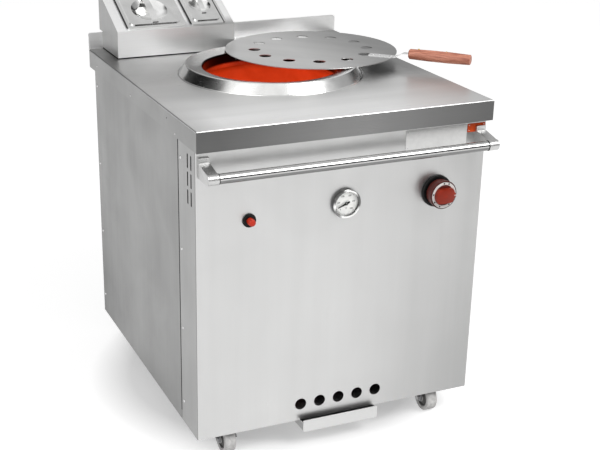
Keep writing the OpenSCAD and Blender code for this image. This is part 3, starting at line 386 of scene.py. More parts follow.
@dataclass(frozen=True)
class PolishedSteel:
    """Bright steel with faint smudges, and on a spun piece with fine rings round its axis."""

    name: str
    tone: Colour = (0.8, 0.8, 0.79)
    roughness: float = 0.13
    centre: Triple | None = None
    wave: float = 0.25
    zones: tuple[Zone, ...] = ()

    def build(self) -> bpy.types.Material:
        """Makes the material."""
        paint = Paint(self.name, self.tone, self.roughness, 1.0)
        centre = self.centre or (0, 0, 0)
        here = paint.place(shift=tuple(-c for c in centre))
        smudge = paint.cloud(here, 14.0, 4.0, 0.8)
        height = paint.cloud(here, 9.0, 1.0)
        lit = paint.span(smudge, 0.35, 0.7)
        colour = paint.mottle(lit, self.tone, 0.93, 1.04)
        paint.drive("Base Color", paint.overlay(self.zones, colour, lit, 0.08, centre))
        rough = paint.span(smudge, 0.3, 0.75, self.roughness * 0.75, self.roughness * 1.6)
        if self.centre:
            inputs = {"W": paint.along(ROUND, centre), "Scale": 900.0, "Detail": 2.0}
            rings = paint.node("ShaderNodeTexNoise", inputs, noise_dimensions="1D").outputs[0]
            rough = paint.join("ADD", rough, paint.span(rings, 0.3, 0.7, -0.03, 0.05))
            height = paint.blend(height, 1.0, rings, 0.05)
        paint.drive("Roughness", rough)
        paint.relief(height, self.wave, 0.001)
        return paint.material


@dataclass(frozen=True)
class FiredClay:
    """Rough red clay with a painted glow that stands in for the fire's light, weaker towards the front and gone near
    the rim.
    """

    name: str
    tone: Colour = (0.42, 0.17, 0.08)
    glow: Colour = (0.8, 0.04, 0.002)
    strength: float = 0.6
    hot_below: float = 0.862
    cool_above: float = 0.89
    dim_front: tuple[float, float, float] = (-0.1, 0.06, 0.3)

    def build(self) -> bpy.types.Material:
        """Makes the material."""
        paint = Paint(self.name, self.tone, 0.85)
        here = paint.place()
        patch = paint.cloud(here, 7.0, 5.0, 0.4)
        grit = paint.cells(here, 420.0)
        paint.drive("Base Color", paint.mottle(paint.span(patch, 0.35, 0.7), self.tone, 0.55, 1.3))
        # Painted glow: emission on the clay, full low in the pot, fading to none near the rim and weaker towards the
        # front.
        painted_glow = paint.mottle(paint.span(patch, 0.25, 0.8), self.glow, 0.82, 1.12)
        painted_glow_mask = paint.join("MULTIPLY", paint.span(paint.along(Z), self.cool_above, self.hot_below),
                          paint.span(paint.along(Y), *self.dim_front, 1.0))
        paint.drive("Emission Color", paint.shade(painted_glow_mask, tint(self.glow, 0.01), painted_glow))
        paint.fix("Emission Strength", self.strength)
        paint.relief(paint.blend(patch, 1.0, grit, 0.3), 0.6, 0.004)
        return paint.material


@dataclass(frozen=True)
class CastMetal:
    """A cast, machined or galvanised surface with a pebbled skin."""

    name: str
    tone: Colour
    roughness: float
    metallic: float
    pebble: float = 900.0
    spangle: float = 0.12

    def build(self) -> bpy.types.Material:
        """Makes the material."""
        paint = Paint(self.name, self.tone, self.roughness, self.metallic)
        here = paint.place()
        patch = paint.cells(here, 60.0)
        grit = paint.cloud(here, self.pebble, 3.0)
        colour = paint.mottle(paint.span(patch, 0.1, 0.8), self.tone, 1 - self.spangle, 1 + self.spangle)
        paint.drive("Base Color", colour)
        paint.drive("Roughness", paint.span(grit, 0.3, 0.7, self.roughness - 0.08, self.roughness + 0.1))
        paint.relief(grit, 0.35, 0.0006)
        return paint.material


@dataclass(frozen=True)
class MouldedPlastic:
    """Moulded plastic with a fine even texture and slight wear, and in front of a plane with another tone."""

    name: str
    tone: Colour
    roughness: float
    wear: float = 0.13
    cap_from: float | None = None
    cap_tone: Colour = (0.27, 0.017, 0.003)
    shine: float = 0.3

    def build(self) -> bpy.types.Material:
        """Makes the material."""
        paint = Paint(self.name, self.tone, self.roughness)
        paint.fix("Specular IOR Level", self.shine)
        here = paint.place()
        worn = paint.cloud(here, 90.0, 4.0)
        skin = paint.cloud(here, 2200.0, 2.0)
        used = paint.span(worn, 0.35, 0.72)
        colour = paint.mottle(used, self.tone, 1.0 - self.wear, 1.0 + self.wear)
        if self.cap_from is not None:
            cap = paint.mottle(used, self.cap_tone, 1.0 - self.wear, 1.0 + self.wear)
            colour = paint.shade(paint.span(paint.along(Y), self.cap_from, self.cap_from - 0.0004), colour, cap)
        paint.drive("Base Color", colour)
        paint.drive("Roughness", paint.span(worn, 0.3, 0.7, self.roughness - 0.06, self.roughness + 0.1))
        paint.relief(skin, 0.18, 0.0003)
        return paint.material


@dataclass(frozen=True)
class OiledWood:
    """Dark reddish hardwood whose grain runs along the grip."""

    name: str
    turn: Triple
    dark: Colour = (0.3, 0.07, 0.035)
    light: Colour = (0.84, 0.37, 0.25)

    def build(self) -> bpy.types.Material:
        """Makes the material."""
        paint = Paint(self.name, self.light, 0.42)
        along = paint.place(self.turn)
        bend = paint.drawn(along, (14.0, 60.0, 60.0))
        grain = paint.drawn(along, (22.0, 420.0, 420.0), 4.0, 0.8)
        pores = paint.drawn(along, (90.0, 2400.0, 2400.0))
        colour = paint.shade(paint.span(paint.blend(bend, 0.45, grain, 0.55), 0.36, 0.64), self.dark, self.light)
        colour = paint.shade(paint.span(pores, 0.6, 0.72, 0.0, 0.7), colour, tint(self.dark, 0.5))
        paint.drive("Base Color", colour)
        paint.drive("Roughness", paint.span(grain, 0.3, 0.7, 0.36, 0.55))
        paint.relief(pores, 0.25, 0.0004)
        return paint.material


@dataclass(frozen=True)
class LooseFill:
    """Pale loose insulation, grainy and matt."""

    name: str
    tone: Colour = (0.62, 0.55, 0.42)

    def build(self) -> bpy.types.Material:
        """Makes the material."""
        paint = Paint(self.name, self.tone, 0.95)
        grain = paint.cells(paint.place(), 260.0)
        paint.drive("Base Color", paint.mottle(paint.span(grain, 0.1, 0.7), self.tone, 0.6, 1.25))
        paint.relief(grain, 0.8, 0.004)
        return paint.material


@dataclass(frozen=True)
class TreadRubber:
    """Grey elastic tread, slightly dusty on the rolling face."""

    name: str
    tone: Colour = (0.7, 0.69, 0.68)

    def build(self) -> bpy.types.Material:
        """Makes the material."""
        paint = Paint(self.name, self.tone, 0.6)
        dust = paint.cloud(paint.place(), 70.0, 5.0, 0.5)
        paint.drive("Base Color", paint.mottle(paint.span(dust, 0.35, 0.7), self.tone, 0.8, 1.15))
        paint.drive("Roughness", paint.span(dust, 0.3, 0.7, 0.5, 0.75))
        paint.relief(dust, 0.2, 0.0006)
        return paint.material


@dataclass(frozen=True)
class ClearGlass:
    """A clear flat glass."""

    name: str

    def build(self) -> bpy.types.Material:
        """Makes the material."""
        paint = Paint(self.name, (1.0, 1.0, 1.0), 0.03)
        paint.fix("Transmission Weight", 1.0)
        paint.fix("IOR", 1.08)
        return paint.material


# Painted light and shade on the sheets, as zones, each with a word on where it lies

LIP, FOLD, UPSTAND = (Z, 0.8985, 0.8965), (Y, -0.4604, -0.4614), (Y, 0.4555, 0.4563)
# Painted light and shade on the worktop: darker where it mirrors darker surroundings, lighter at the front and on the
# upstand, and a painted shadow beside the collar.
WORKTOP_LIGHT_AND_SHADE = (
    Zone(((X, -0.1, -0.36), (Y, -0.24, 0.1)), 0.42),  # left
    Zone(((Y, 0.0, 0.3), (X, -0.18, -0.34)), 0.26),  # left rear
    Zone(((X, 0.29, 0.36), (Y, -0.32, -0.08)), 0.22),  # right rear
    Zone(((Y, -0.16, -0.38), (X, -0.41, -0.32), (X, 0.42, 0.1)), 0.95),  # front
    Zone(((X, 0.2, 0.26), (X, 0.37, 0.31), (Y, -0.18, -0.1), (Y, 0.06, -0.02)), 0.16),  # painted shadow beside the collar, under the lid's edge
    Zone(((Z, 0.8966, 0.8954),), 0.29),  # side lips
    Zone((FOLD, LIP), 0.12),  # front lip
    Zone((FOLD, LIP, (X, -0.34, -0.05), (X, 0.42, 0.05)), 0.22),  # middle of the front lip
    Zone((UPSTAND,), 1.0),
    Zone((UPSTAND, (X, 0.25, 0.38)), 0.64),  # right end of the upstand
)
# Painted shade on the front panel: darker to the right, near the floor and on the side strips, and dark in and round
# its slots and holes.
FRONT_PAINTED_SHADE = (
    Zone(((X, -0.02, 0.36),), 0.47),  # right
    Zone(((X, 0.1, 0.38), (Z, 0.55, 0.16)), 0.39),  # right, near the floor
    Zone(((X, -0.3948, -0.3956),), 0.37),  # left strip
    Zone(((X, 0.3948, 0.3956),), 0.4),  # right strip
    Zone(((Y, -0.4395, -0.4385), (X, -0.3959, -0.3956), (X, 0.3959, 0.3956)), 0.02),  # painted shade inside and on the slot walls
    Zone(((Y, -0.4408, -0.4405), (Z, 0.15, 0.149), (X, -0.15, -0.149), (X, 0.15, 0.149)), 0.02),  # painted shade in the air holes
    *(Zone(((Y, y - 0.0044, y - 0.0036), (Y, y + 0.0044, y + 0.0036),
            (Z, z - 0.0184, z - 0.0176), (Z, z + 0.0184, z + 0.0176)), 0.01)  # painted shade in and round the louvre slots
      for y in (-0.412, -0.388) for z in (0.809, 0.764, 0.719)),
)
SIDE_PAINTED_SHADE = (Zone(((Y, 0.06, 0.38), (Z, 0.5, 0.2)), 0.19),)  # painted shade at the rear, near the floor
# Painted shade on the stand: darker to the right of its front and on its two ends.
STAND_PAINTED_SHADE = (
    Zone(((X, -0.25, -0.1), (Z, 0.995, 0.98)), 0.42),  # right of the front
    Zone(((X, -0.3568, -0.3576),), 0.42),  # left end
    Zone(((X, -0.0042, -0.0034),), 0.5),  # right end
)
LID_PAINTED_SHADE = (Zone(((X, 0.1, 0.34),), 0.28),)  # painted shade on the right
NECK = (ROUND, 0.1886, 0.1882)
COLLAR_LIGHT_AND_SHADE = (
    Zone(((X, -0.08, -0.19), (Y, -0.14, 0.0)), 0.36),  # painted shade at the left rear
    Zone(((X, 0.0, 0.06), (Y, -0.08, -0.16)), 1.0),  # painted highlight at the front right
    Zone((NECK, (Z, 0.888, 0.894)), 0.008),  # painted shade at the top of the neck, dark through the lid's holes
    Zone((NECK, (Z, 0.88, 0.887), (X, 0.02, 0.08)), 0.008),  # painted shade at the right of the neck
)
RAIL_PAINTED_SHADE = (Zone(((Z, 0.7956, 0.7926),), 0.2),)  # painted shade on the lower half
PAN_PAINTED_SHADE = tuple(  # painted shade in the gaps beside the pan lids
    Zone(((Z, 0.975, 0.976), (X, low - 0.0006, low), (X, high + 0.0006, high)), 0.05)
    for low, high in ((-0.3275, -0.3232), (-0.1365, -0.1322), (-0.0345, -0.0318)))


def bezel_zones() -> tuple[Zone, ...]:
    """Dark arcs that the thermometer's bright rim mirrors, and the shade on its side."""
    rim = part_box("gauge_case")[0].y
    return (Zone(((X, -0.002, -0.012), (Z, 0.667, 0.678)), 0.12), Zone(((X, 0.022, 0.03), (Z, 0.652, 0.662)), 0.14),
            Zone(((X, -0.012, -0.022), (Z, 0.664, 0.654)), 0.2), Zone(((Y, rim + 0.0015, rim + 0.003),), 0.1))


class Finishes:
    """Every finish of the object, made once."""

    def __init__(self) -> None:
        """Builds the materials."""
        lid, side, up = (0, 0, LID_TURN), Grain.SIDEWAYS, Grain.UPRIGHT
        self.worktop = BrushedSteel("worktop_brushed", grey(0.62), 0.34, side, zones=WORKTOP_LIGHT_AND_SHADE,
                                    metallic=0.85).build()
        self.front = BrushedSteel("front_brushed", grey(0.575), 0.36, up, streak=0.03, zones=FRONT_PAINTED_SHADE).build()
        # The side and rear panels take the front's steel in a darker tone: painted shade.
        self.side = BrushedSteel("side_brushed", grey(0.3), 0.38, up, zones=SIDE_PAINTED_SHADE).build()
        # The stand's steel has a near-white tone, lighter than the worktop's: painted light.
        self.stand = BrushedSteel("stand_brushed", grey(0.97), 0.36, side, zones=STAND_PAINTED_SHADE, metallic=0.6).build()
        self.tray = BrushedSteel("tray_brushed", grey(0.62), 0.38, side).build()
        self.lid = BrushedSteel("lid_brushed", grey(0.65), 0.4, side, lid, streak=0.06, zones=LID_PAINTED_SHADE).build()
        self.frame = CastMetal("galvanised", (0.5, 0.5, 0.5), 0.5, 1.0, 300.0).build()
        self.zinc = CastMetal("zinc_plate", (0.34, 0.34, 0.35), 0.4, 1.0, 500.0).build()
        self.iron = CastMetal("cast_iron", (0.07, 0.068, 0.066), 0.7, 0.6).build()
        self.brass = CastMetal("machined_brass", (0.72, 0.5, 0.2), 0.3, 1.0, 700.0, 0.06).build()
        self.copper = CastMetal("dull_copper", (0.62, 0.32, 0.18), 0.38, 1.0, 500.0, 0.1).build()
        self.collar = PolishedSteel("collar_spun", centre=MOUTH, roughness=0.16, zones=COLLAR_LIGHT_AND_SHADE).build()
        self.rail = PolishedSteel("rail_polished", grey(0.58), 0.13, wave=0.1, zones=RAIL_PAINTED_SHADE).build()
        self.cast = CastMetal("bracket_satin", grey(0.55), 0.3, 0.9, 700.0, 0.04).build()
        self.pressed = PolishedSteel("pan_polished", grey(0.86), 0.12, wave=0.3, zones=PAN_PAINTED_SHADE).build()
        self.bezel = PolishedSteel("bezel_polished", roughness=0.1, wave=0.1, zones=bezel_zones()).build()
        self.screw = PolishedSteel("screw_polished", (0.72, 0.72, 0.72), 0.2, wave=0.1).build()
        self.clay = FiredClay("fired_clay").build()
        self.fill = LooseFill("loose_fill").build()
        self.wood = OiledWood("oiled_wood", lid).build()
        self.black = MouldedPlastic("black_plastic", (0.008, 0.008, 0.008), 0.35, shine=0.16).build()
        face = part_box("gas_knob")[0].y + 0.0136
        self.knob = MouldedPlastic("knob_plastic", (0.1, 0.012, 0.008), 0.34, cap_from=face).build()
        self.button = MouldedPlastic("button_plastic", (0.6, 0.034, 0.012), 0.3).build()
        self.scale = MouldedPlastic("scale_print", (0.8, 0.77, 0.75), 0.4, wear=0.06).build()
        self.dial = MouldedPlastic("dial_enamel", (0.86, 0.86, 0.84), 0.35, wear=0.03).build()
        self.ink = MouldedPlastic("black_ink", (0.005, 0.005, 0.005), 0.5, shine=0.05).build()
        # Dark finish for the rail joints and lip plugs, and for the dark strips in the seams and round the stand's
        # foot, which are painted shade.
        self.seal = MouldedPlastic("dark_seal", (0.005, 0.005, 0.0045), 0.6, shine=0.05).build()
        self.plate = MouldedPlastic("pale_plate", (0.8, 0.8, 0.79), 0.4, wear=0.04).build()
        self.orange = MouldedPlastic("orange_plate", (0.7, 0.085, 0.018), 0.38, wear=0.06, shine=0.12).build()
        self.ceramic = MouldedPlastic("white_ceramic", (0.8, 0.78, 0.72), 0.2).build()
        self.hub = MouldedPlastic("hub_plastic", (0.11, 0.107, 0.105), 0.5).build()
        self.tread = TreadRubber("tread_rubber").build()
        self.glass = ClearGlass("gauge_glass_clear").build()


# Mesh code


def polar(radius: float, degrees: float) -> tuple[float, float]:
    """The point at a radius and an angle about the origin."""
    angle = math.radians(degrees)
    return (radius * math.cos(angle), radius * math.sin(angle))


def turned(degrees: float, axis: str = "Z") -> Matrix:
    """A turn about an axis."""
    return Matrix.Rotation(math.radians(degrees), 4, axis)


def to_front(x: float, y: float, z: float) -> Matrix:
    """Places a shape made along +Z so that it points out of the front panel."""
    return Matrix.Translation((x, y, z)) @ turned(90, "X")


def band(inner: float, outer: float, low: float, high: float) -> Outline:
    """The square section of a ring, for turning about Z."""
    return [(inner, low), (outer, low), (outer, high), (inner, high), (inner, low)]


def dome(radius: float, base: float, rise: float, step: int) -> Outline:
    """Outline of a round head with a domed top, for turning about Z.

    Args:
        radius: Its radius.
        base: Height of its flat underside.
        rise: Height of its crown.
        step: Degrees between the points of the dome.

    Returns:
        Its points as radius and height.
    """
    arc = [math.radians(d) for d in range(0, 90, step)]
    return [(0.0, base), (radius, base), *((radius * math.cos(a), rise * math.sin(a)) for a in arc), (0.0, rise)]


def ring_outline(width: float, depth: float, radius: float, steps: int = 6) -> Outline:
    """A rectangle with round corners about the origin.

    Args:
        width: Size along X.
        depth: Size along Y.
        radius: Radius of the corners.
        steps: Points on each corner.

    Returns:
        Its points, anticlockwise.
    """
    points = []
    for sx, sy, start in ((1, 1, 0), (-1, 1, 90), (-1, -1, 180), (1, -1, 270)):
        for i in range(steps + 1):
            x, y = polar(radius, start + 90 * i / steps)
            points.append((sx * (width / 2 - radius) + x, sy * (depth / 2 - radius) + y))
    return points


class Shape:
    """A mesh in the making."""

    def __init__(self) -> None:
        """Starts with no faces."""
        self.mesh = bmesh.new()

    def ring(self, outline: Outline | Points, z: float, place: Matrix) -> list[bmesh.types.BMVert]:
        """Puts the corners of a flat outline at a height."""
        return [self.mesh.verts.new(place @ Vector((x, y, z))) for x, y in outline]

    def bridge(self, first: list[bmesh.types.BMVert], second: list[bmesh.types.BMVert]) -> None:
        """Joins two closed rings of points by faces."""
        for i in range(len(first)):
            k = (i + 1) % len(first)
            self.mesh.faces.new((first[i], first[k], second[k], second[i]))

    def lathe(self, profile: Outline | Points, steps: int = 48, place: Matrix = Matrix.Identity(4)) -> "Shape":
        """Turns an outline about Z.

        Args:
            profile: Points as radius and height.
            steps: Number of sides.
            place: Where the turned shape goes.

        Returns:
            This shape.
        """
        rings = []
        for i in range(steps):
            turn = Matrix.Rotation(math.tau * i / steps, 4, "Z")
            rings.append([self.mesh.verts.new(place @ turn @ Vector((r, 0, z))) for r, z in profile])
        for i in range(steps):
            a, b = rings[i], rings[(i + 1) % steps]
            for k in range(len(profile) - 1):
                if profile[k][0] > 0.0 or profile[k + 1][0] > 0.0:
                    self.mesh.faces.new((a[k], b[k], b[k + 1], a[k + 1]))
        return self

    def block(self, low: Triple, high: Triple, place: Matrix) -> "Shape":
        """Adds a box.

        Args:
            low: Its lowest corner.
            high: Its highest corner.
            place: Where it goes.

        Returns:
            This shape.
        """
        middle, size = (Vector(low) + Vector(high)) / 2, Vector(high) - Vector(low)
        fit = place @ Matrix.Translation(middle) @ Matrix.Diagonal((*size, 1.0))
        bmesh.ops.create_cube(self.mesh, size=1.0, matrix=fit)
        return self

    def plate(self, outline: Outline | Points, low: float, high: float, place: Matrix = Matrix.Identity(4)) -> "Shape":
        """Gives a flat outline a thickness.

        Args:
            outline: Its corners in X and Y.
            low: Height of its lower face.
            high: Height of its upper face.
            place: Where it goes.

        Returns:
            This shape.
        """
        base, top = self.ring(outline, low, place), self.ring(outline, high, place)
        self.mesh.faces.new(base[::-1])
        self.mesh.faces.new(top)
        self.bridge(base, top)
        return self

    def soften(self, width: float) -> "Shape":
        """Rounds every sharp edge by a width."""
        sharp = [e for e in self.mesh.edges if len(e.link_faces) == 2 and e.calc_face_angle(0.0) > BEVEL_FROM]
        bmesh.ops.bevel(self.mesh, geom=sharp, offset=width, segments=BEVEL_STEPS, affect="EDGES", profile=0.5)
        return self

    def finish(self, name: str) -> bpy.types.Mesh:
        """Closes the shape's seams, points its faces outwards and makes it a mesh.

        Args:
            name: Name of the mesh.

        Returns:
            The mesh.
        """
        bmesh.ops.remove_doubles(self.mesh, verts=self.mesh.verts, dist=1e-6)
        bmesh.ops.recalc_face_normals(self.mesh, faces=self.mesh.faces)
        made = bpy.data.meshes.new(name)
        self.mesh.to_mesh(made)
        self.mesh.free()
        return crease(made)


# Geometry Nodes for what repeats


class Pattern(Nodes):
    """A Geometry Nodes tree with named inputs, whose result becomes a plain mesh."""

    def __init__(self, name: str, inputs: dict[str, tuple[str, object]]) -> None:
        """Starts the tree.

        Args:
            name: Name of the tree.
            inputs: Kind of socket and value of each named input.
        """
        super().__init__(bpy.data.node_groups.new(name, "GeometryNodeTree"))
        face = self.tree.interface
        face.new_socket(name="Points", in_out="INPUT", socket_type="NodeSocketGeometry")
        face.new_socket(name="Pieces", in_out="OUTPUT", socket_type="NodeSocketGeometry")
        self.sockets = {}
        self.values = {}
        for key, (kind, value) in {**inputs, "Finish": ("Material", None)}.items():
            made = face.new_socket(name=key, in_out="INPUT", socket_type="NodeSocket" + kind)
            self.sockets[key] = made.identifier
            self.values[key] = value
        self.source = self.tree.nodes.new("NodeGroupInput")

    def feed(self, socket: Socket, value: object) -> None:
        """Feeds a socket, where a text can be the name of one of the tree's own inputs."""
        named = isinstance(value, str) and value in self.source.outputs
        super().feed(socket, self.source.outputs[value] if named else value)

    def close(self, pieces: Socket) -> None:
        """Ends the tree in real geometry with a finish."""
        real = self.node("GeometryNodeRealizeInstances", {0: pieces})
        dressed = self.node("GeometryNodeSetMaterial", {0: real.outputs[0], "Material": "Finish"})
        self.node("NodeGroupOutput", {0: dressed.outputs[0]})

    def run(self, name: str, points: bpy.types.Mesh, finish: bpy.types.Material, **values: object) -> bpy.types.Mesh:
        """Runs the tree on some points.

        Args:
            name: Name of the mesh that it gives.
            points: Mesh with the points.
            finish: Material of the pieces.
            values: Values for the tree's named inputs.

        Returns:
            The plain mesh.
        """
        holder = put(name + "_points", points)
        modifier = holder.modifiers.new("pattern", "NODES")
        modifier.node_group = self.tree
        for key, value in {**self.values, "Finish": finish, **values}.items():
            modifier[self.sockets[key]] = value
        made = plain_mesh(holder)
        made.name = name
        holder.modifiers.remove(modifier)
        bpy.data.objects.remove(holder)
        return crease(made)


def fastener_pattern() -> Pattern:
    """Heads of screws or rivets on points that say which way they face."""
    pattern = Pattern("fasteners", {
        "Head": ("Object", None), "Size": ("Float", 1.0), "Spin": ("Float", 6.283), "Seed": ("Int", 7)})
    facing = pattern.node("GeometryNodeInputNamedAttribute", {"Name": "facing"}, data_type="FLOAT_VECTOR")
    aligned = pattern.node("FunctionNodeAlignRotationToVector", {"Vector": facing.outputs[0]}, axis="Z")
    chance = pattern.node("FunctionNodeRandomValue", {3: "Spin", "Seed": "Seed"}, data_type="FLOAT")
    spun = pattern.node("FunctionNodeAxisAngleToRotation", {"Axis": (0.0, 0.0, 1.0), "Angle": chance.outputs[1]})
    both = pattern.node("FunctionNodeRotateRotation", {0: aligned.outputs[0], 1: spun.outputs[0]},
                        rotation_space="LOCAL")
    head = pattern.node("GeometryNodeObjectInfo", {"Object": "Head"})
    placed = pattern.node("GeometryNodeInstanceOnPoints", {
        "Points": "Points", "Instance": head.outputs["Geometry"], "Rotation": both.outputs[0], "Scale": "Size"})
    pattern.close(placed.outputs[0])
    return pattern


def mark_pattern() -> Pattern:
    """Marks or ribs side by side along an arc about Z."""
    pattern = Pattern("marks", {
        "Count": ("Int", 11), "Radius": ("Float", 0.03), "Start": ("Float", 0.0), "Sweep": ("Float", 6.0),
        "Mark": ("Vector", (0.001, 0.003, 0.0005))})
    arc = pattern.node("GeometryNodeCurveArc", {
        "Resolution": "Count", "Radius": "Radius", "Start Angle": "Start", "Sweep Angle": "Sweep"})
    block = pattern.node("GeometryNodeMeshCube", {"Size": "Mark"})
    points = pattern.node("GeometryNodeCurveToPoints", {0: arc.outputs[0], "Count": "Count"}, mode="COUNT")
    placed = pattern.node("GeometryNodeInstanceOnPoints", {
        "Points": points.outputs[0], "Instance": block.outputs[0], "Rotation": points.outputs["Rotation"]})
    pattern.close(placed.outputs[0])
    return pattern


def thread_pattern() -> Pattern:
    """A ridge that winds about Z, as on a pipe thread."""
    pattern = Pattern("thread", {
        "Radius": ("Float", 0.0103), "Turns": ("Float", 11.0), "Length": ("Float", 0.02), "Ridge": ("Float", 0.0005)})
    path = pattern.node("GeometryNodeCurveSpiral", {
        "Resolution": 40, "Rotations": "Turns", "Start Radius": "Radius", "End Radius": "Radius", "Height": "Length"})
    section = pattern.node("GeometryNodeCurvePrimitiveCircle", {"Resolution": 6, "Radius": "Ridge"})
    wound = pattern.node("GeometryNodeCurveToMesh", {0: path.outputs[0], 1: section.outputs[0], "Fill Caps": True})
    pattern.close(wound.outputs[0])
    return pattern


# Sub-assemblies


class Head(Enum):
    """Kinds of fastener head, each of radius 1 on the plane z = 0."""

    PAN = "pan"
    DOME = "dome"
    HEX = "hex"

    def build(self) -> bpy.types.Mesh:
        """Makes the head's mesh."""
        shape = Shape()
        foot, hex_r, hex_top, hex_edge = -0.1, 1.1, 0.75, 0.08
        if self is Head.HEX:
            corners = [polar(hex_r, 60 * i) for i in range(6)]
            return shape.plate(corners, foot, hex_top).soften(hex_edge).finish("hex_head")
        rise = 0.55 if self is Head.DOME else 0.45
        shape.lathe(dome(1.0, foot, rise, step=15), steps=20)
        if self is Head.PAN:
            length, width, depth, proud = 0.5, 0.09, 0.05, 0.015
            for turn in (0, 90):
                shape.block((-length, -width, rise - depth), (length, width, rise + proud), turned(turn))
        return shape.finish(self.value + "_head")


@dataclass
class Assembly:
    """A group of pieces that is dressed and built together."""

    frame: dict
    finishes: Finishes
    patterns: dict[str, Pattern]
    made: list[str] = field(default_factory=list)

    def dress(self, finish: bpy.types.Material, *names: str) -> None:
        """Gives CAD nodes a finish.

        Args:
            finish: The material.
            names: The nodes.
        """
        for name in names:
            for place in self.frame["nodes"][name].material_slots:
                place.material = finish
            LOG.info("dressed %s with %s", name, finish.name)

    def add(self, mesh: bpy.types.Mesh, body: str, slot: str, finish: bpy.types.Material | None = None) -> None:
        """Adds a finished piece.

        Args:
            mesh: Its mesh, in place.
            body: CAD body that it rides on.
            slot: The record's material slot that it belongs to; not used.
            finish: Its material, if the mesh has none yet.
        """
        piece = put(mesh.name, mesh)
        if finish is not None:
            mesh.materials.append(finish)
        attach(piece, body)
        self.made.append(piece.name)
        LOG.info("made %s on %s", piece.name, body)

    def fasten(self, name: str, spots: list[tuple[Triple, Facing]], head: Head, size: float,
               finish: bpy.types.Material, body: str = "chassis", slot: str = "spindle_steel") -> None:
        """Puts a fastener's head on each spot.

        Args:
            name: Name of the piece.
            spots: Place of each head, and the direction that it faces.
            head: Kind of head.
            size: Its radius.
            finish: Their material.
            body: CAD body that they ride on.
            slot: The record's material slot.
        """
        points = bpy.data.meshes.new(name + "_spots")
        points.from_pydata([place for place, _ in spots], [], [])
        facing = points.attributes.new("facing", "FLOAT_VECTOR", "POINT")
        for i, (_, way) in enumerate(spots):
            facing.data[i].vector = way.value
        template = put(name + "_head", head.build())
        mesh = self.patterns["fasteners"].run(name, points, finish, Head=template, Size=size)
        bpy.data.objects.remove(template)
        self.add(mesh, body, slot)


@dataclass
class Cabinet(Assembly):
    """Panels, inner frame, their screws and the plain plates at the top right."""

    side_x: float = 0.396
    side_rows: tuple[float, ...] = (-0.338, 0.398)
    side_heights: tuple[float, ...] = (0.138, 0.350, 0.566, 0.803)
    rear_x: float = 0.375
    rear_heights: tuple[float, ...] = (0.12, 0.36, 0.6, 0.84)
    screw_r: float = 0.0042
    seam_y: tuple[float, float] = (-0.322, -0.3174)
    seam_x: tuple[float, float, float] = (0.3959, 0.3962, 0.3964)
    seam_low: float = 0.1035
    seam_gap: float = 0.0005
    plate_low: tuple[float, float] = (0.163, 0.786)
    plate_high: tuple[float, float] = (0.338, 0.8375)
    badge_low: tuple[float, float] = (0.340, 0.815)
    badge_high: tuple[float, float] = (0.392, 0.8375)
    plate_t: float = 0.0009
    plate_corner: float = 0.003
    plate_edge: float = 0.0002
    rivet_in: float = 0.0045
    rivet_r: float = 0.0014

    def build(self) -> None:
        """Builds and dresses the cabinet."""
        f = self.finishes
        self.dress(f.front, "front_panel")
        self.dress(f.side, "left_panel", "right_panel", "rear_panel")
        self.dress(f.frame, "base_pan", "tray_runners")
        # The inner posts and rails take the dark iron so that the inside shows dark through the slots: painted shade.
        self.dress(f.iron, "corner_posts", "top_rails")
        self.add_screws()
        self.add_plates()
        self.add_seams()

    def add_screws(self) -> None:
        """Screws on the side strips, the side panels and the rear panel."""
        spots = [((side * self.side_x, y, z), way) for side, way in ((-1, Facing.LEFT), (1, Facing.RIGHT))
                 for y in self.side_rows for z in self.side_heights]
        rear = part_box("rear_panel")[1].y
        spots += [((x, rear, z), Facing.BACK) for x in (-self.rear_x, self.rear_x) for z in self.rear_heights]
        self.fasten("panel_screws", spots, Head.PAN, self.screw_r, self.finishes.screw)

    def add_plates(self) -> None:
        """Two plain plates, a pale one and an orange one, each held by small rivets."""
        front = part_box("front_panel")[0].y
        corners = ((self.plate_low, self.plate_high, self.finishes.plate, "pale_plate"),
                   (self.badge_low, self.badge_high, self.finishes.orange, "orange_plate"))
        rivets = []
        for (x0, z0), (x1, z1), finish, name in corners:
            outline = ring_outline(x1 - x0, z1 - z0, self.plate_corner)
            plate = Shape().plate(outline, 0.0, self.plate_t, to_front((x0 + x1) / 2, front, (z0 + z1) / 2))
            self.add(plate.soften(self.plate_edge).finish(name), "chassis", "dial_white", finish)
            rivets += [((x, front - self.plate_t, z), Facing.FRONT) for x in (x0 + self.rivet_in, x1 - self.rivet_in)
                       for z in (z0 + self.rivet_in, z1 - self.rivet_in)]
        self.fasten("plate_rivets", rivets, Head.DOME, self.rivet_r, self.finishes.screw)

    def add_seams(self) -> None:
        """A dark strip in the upright seams between the front panel's strips and the side panels: painted shade."""
        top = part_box("front_panel")[1].z - self.seam_gap
        front, back = self.seam_y
        wall, edge, crown = self.seam_x
        section = ((wall, front), (wall, back), (edge, back), (crown, (front + back) / 2), (edge, front))
        strip = Shape()
        for side in (-1, 1):
            strip.plate([(side * x, y) for x, y in section], self.seam_low, top)
        self.add(strip.finish("panel_seams"), "chassis", "black_plastic", self.finishes.seal)


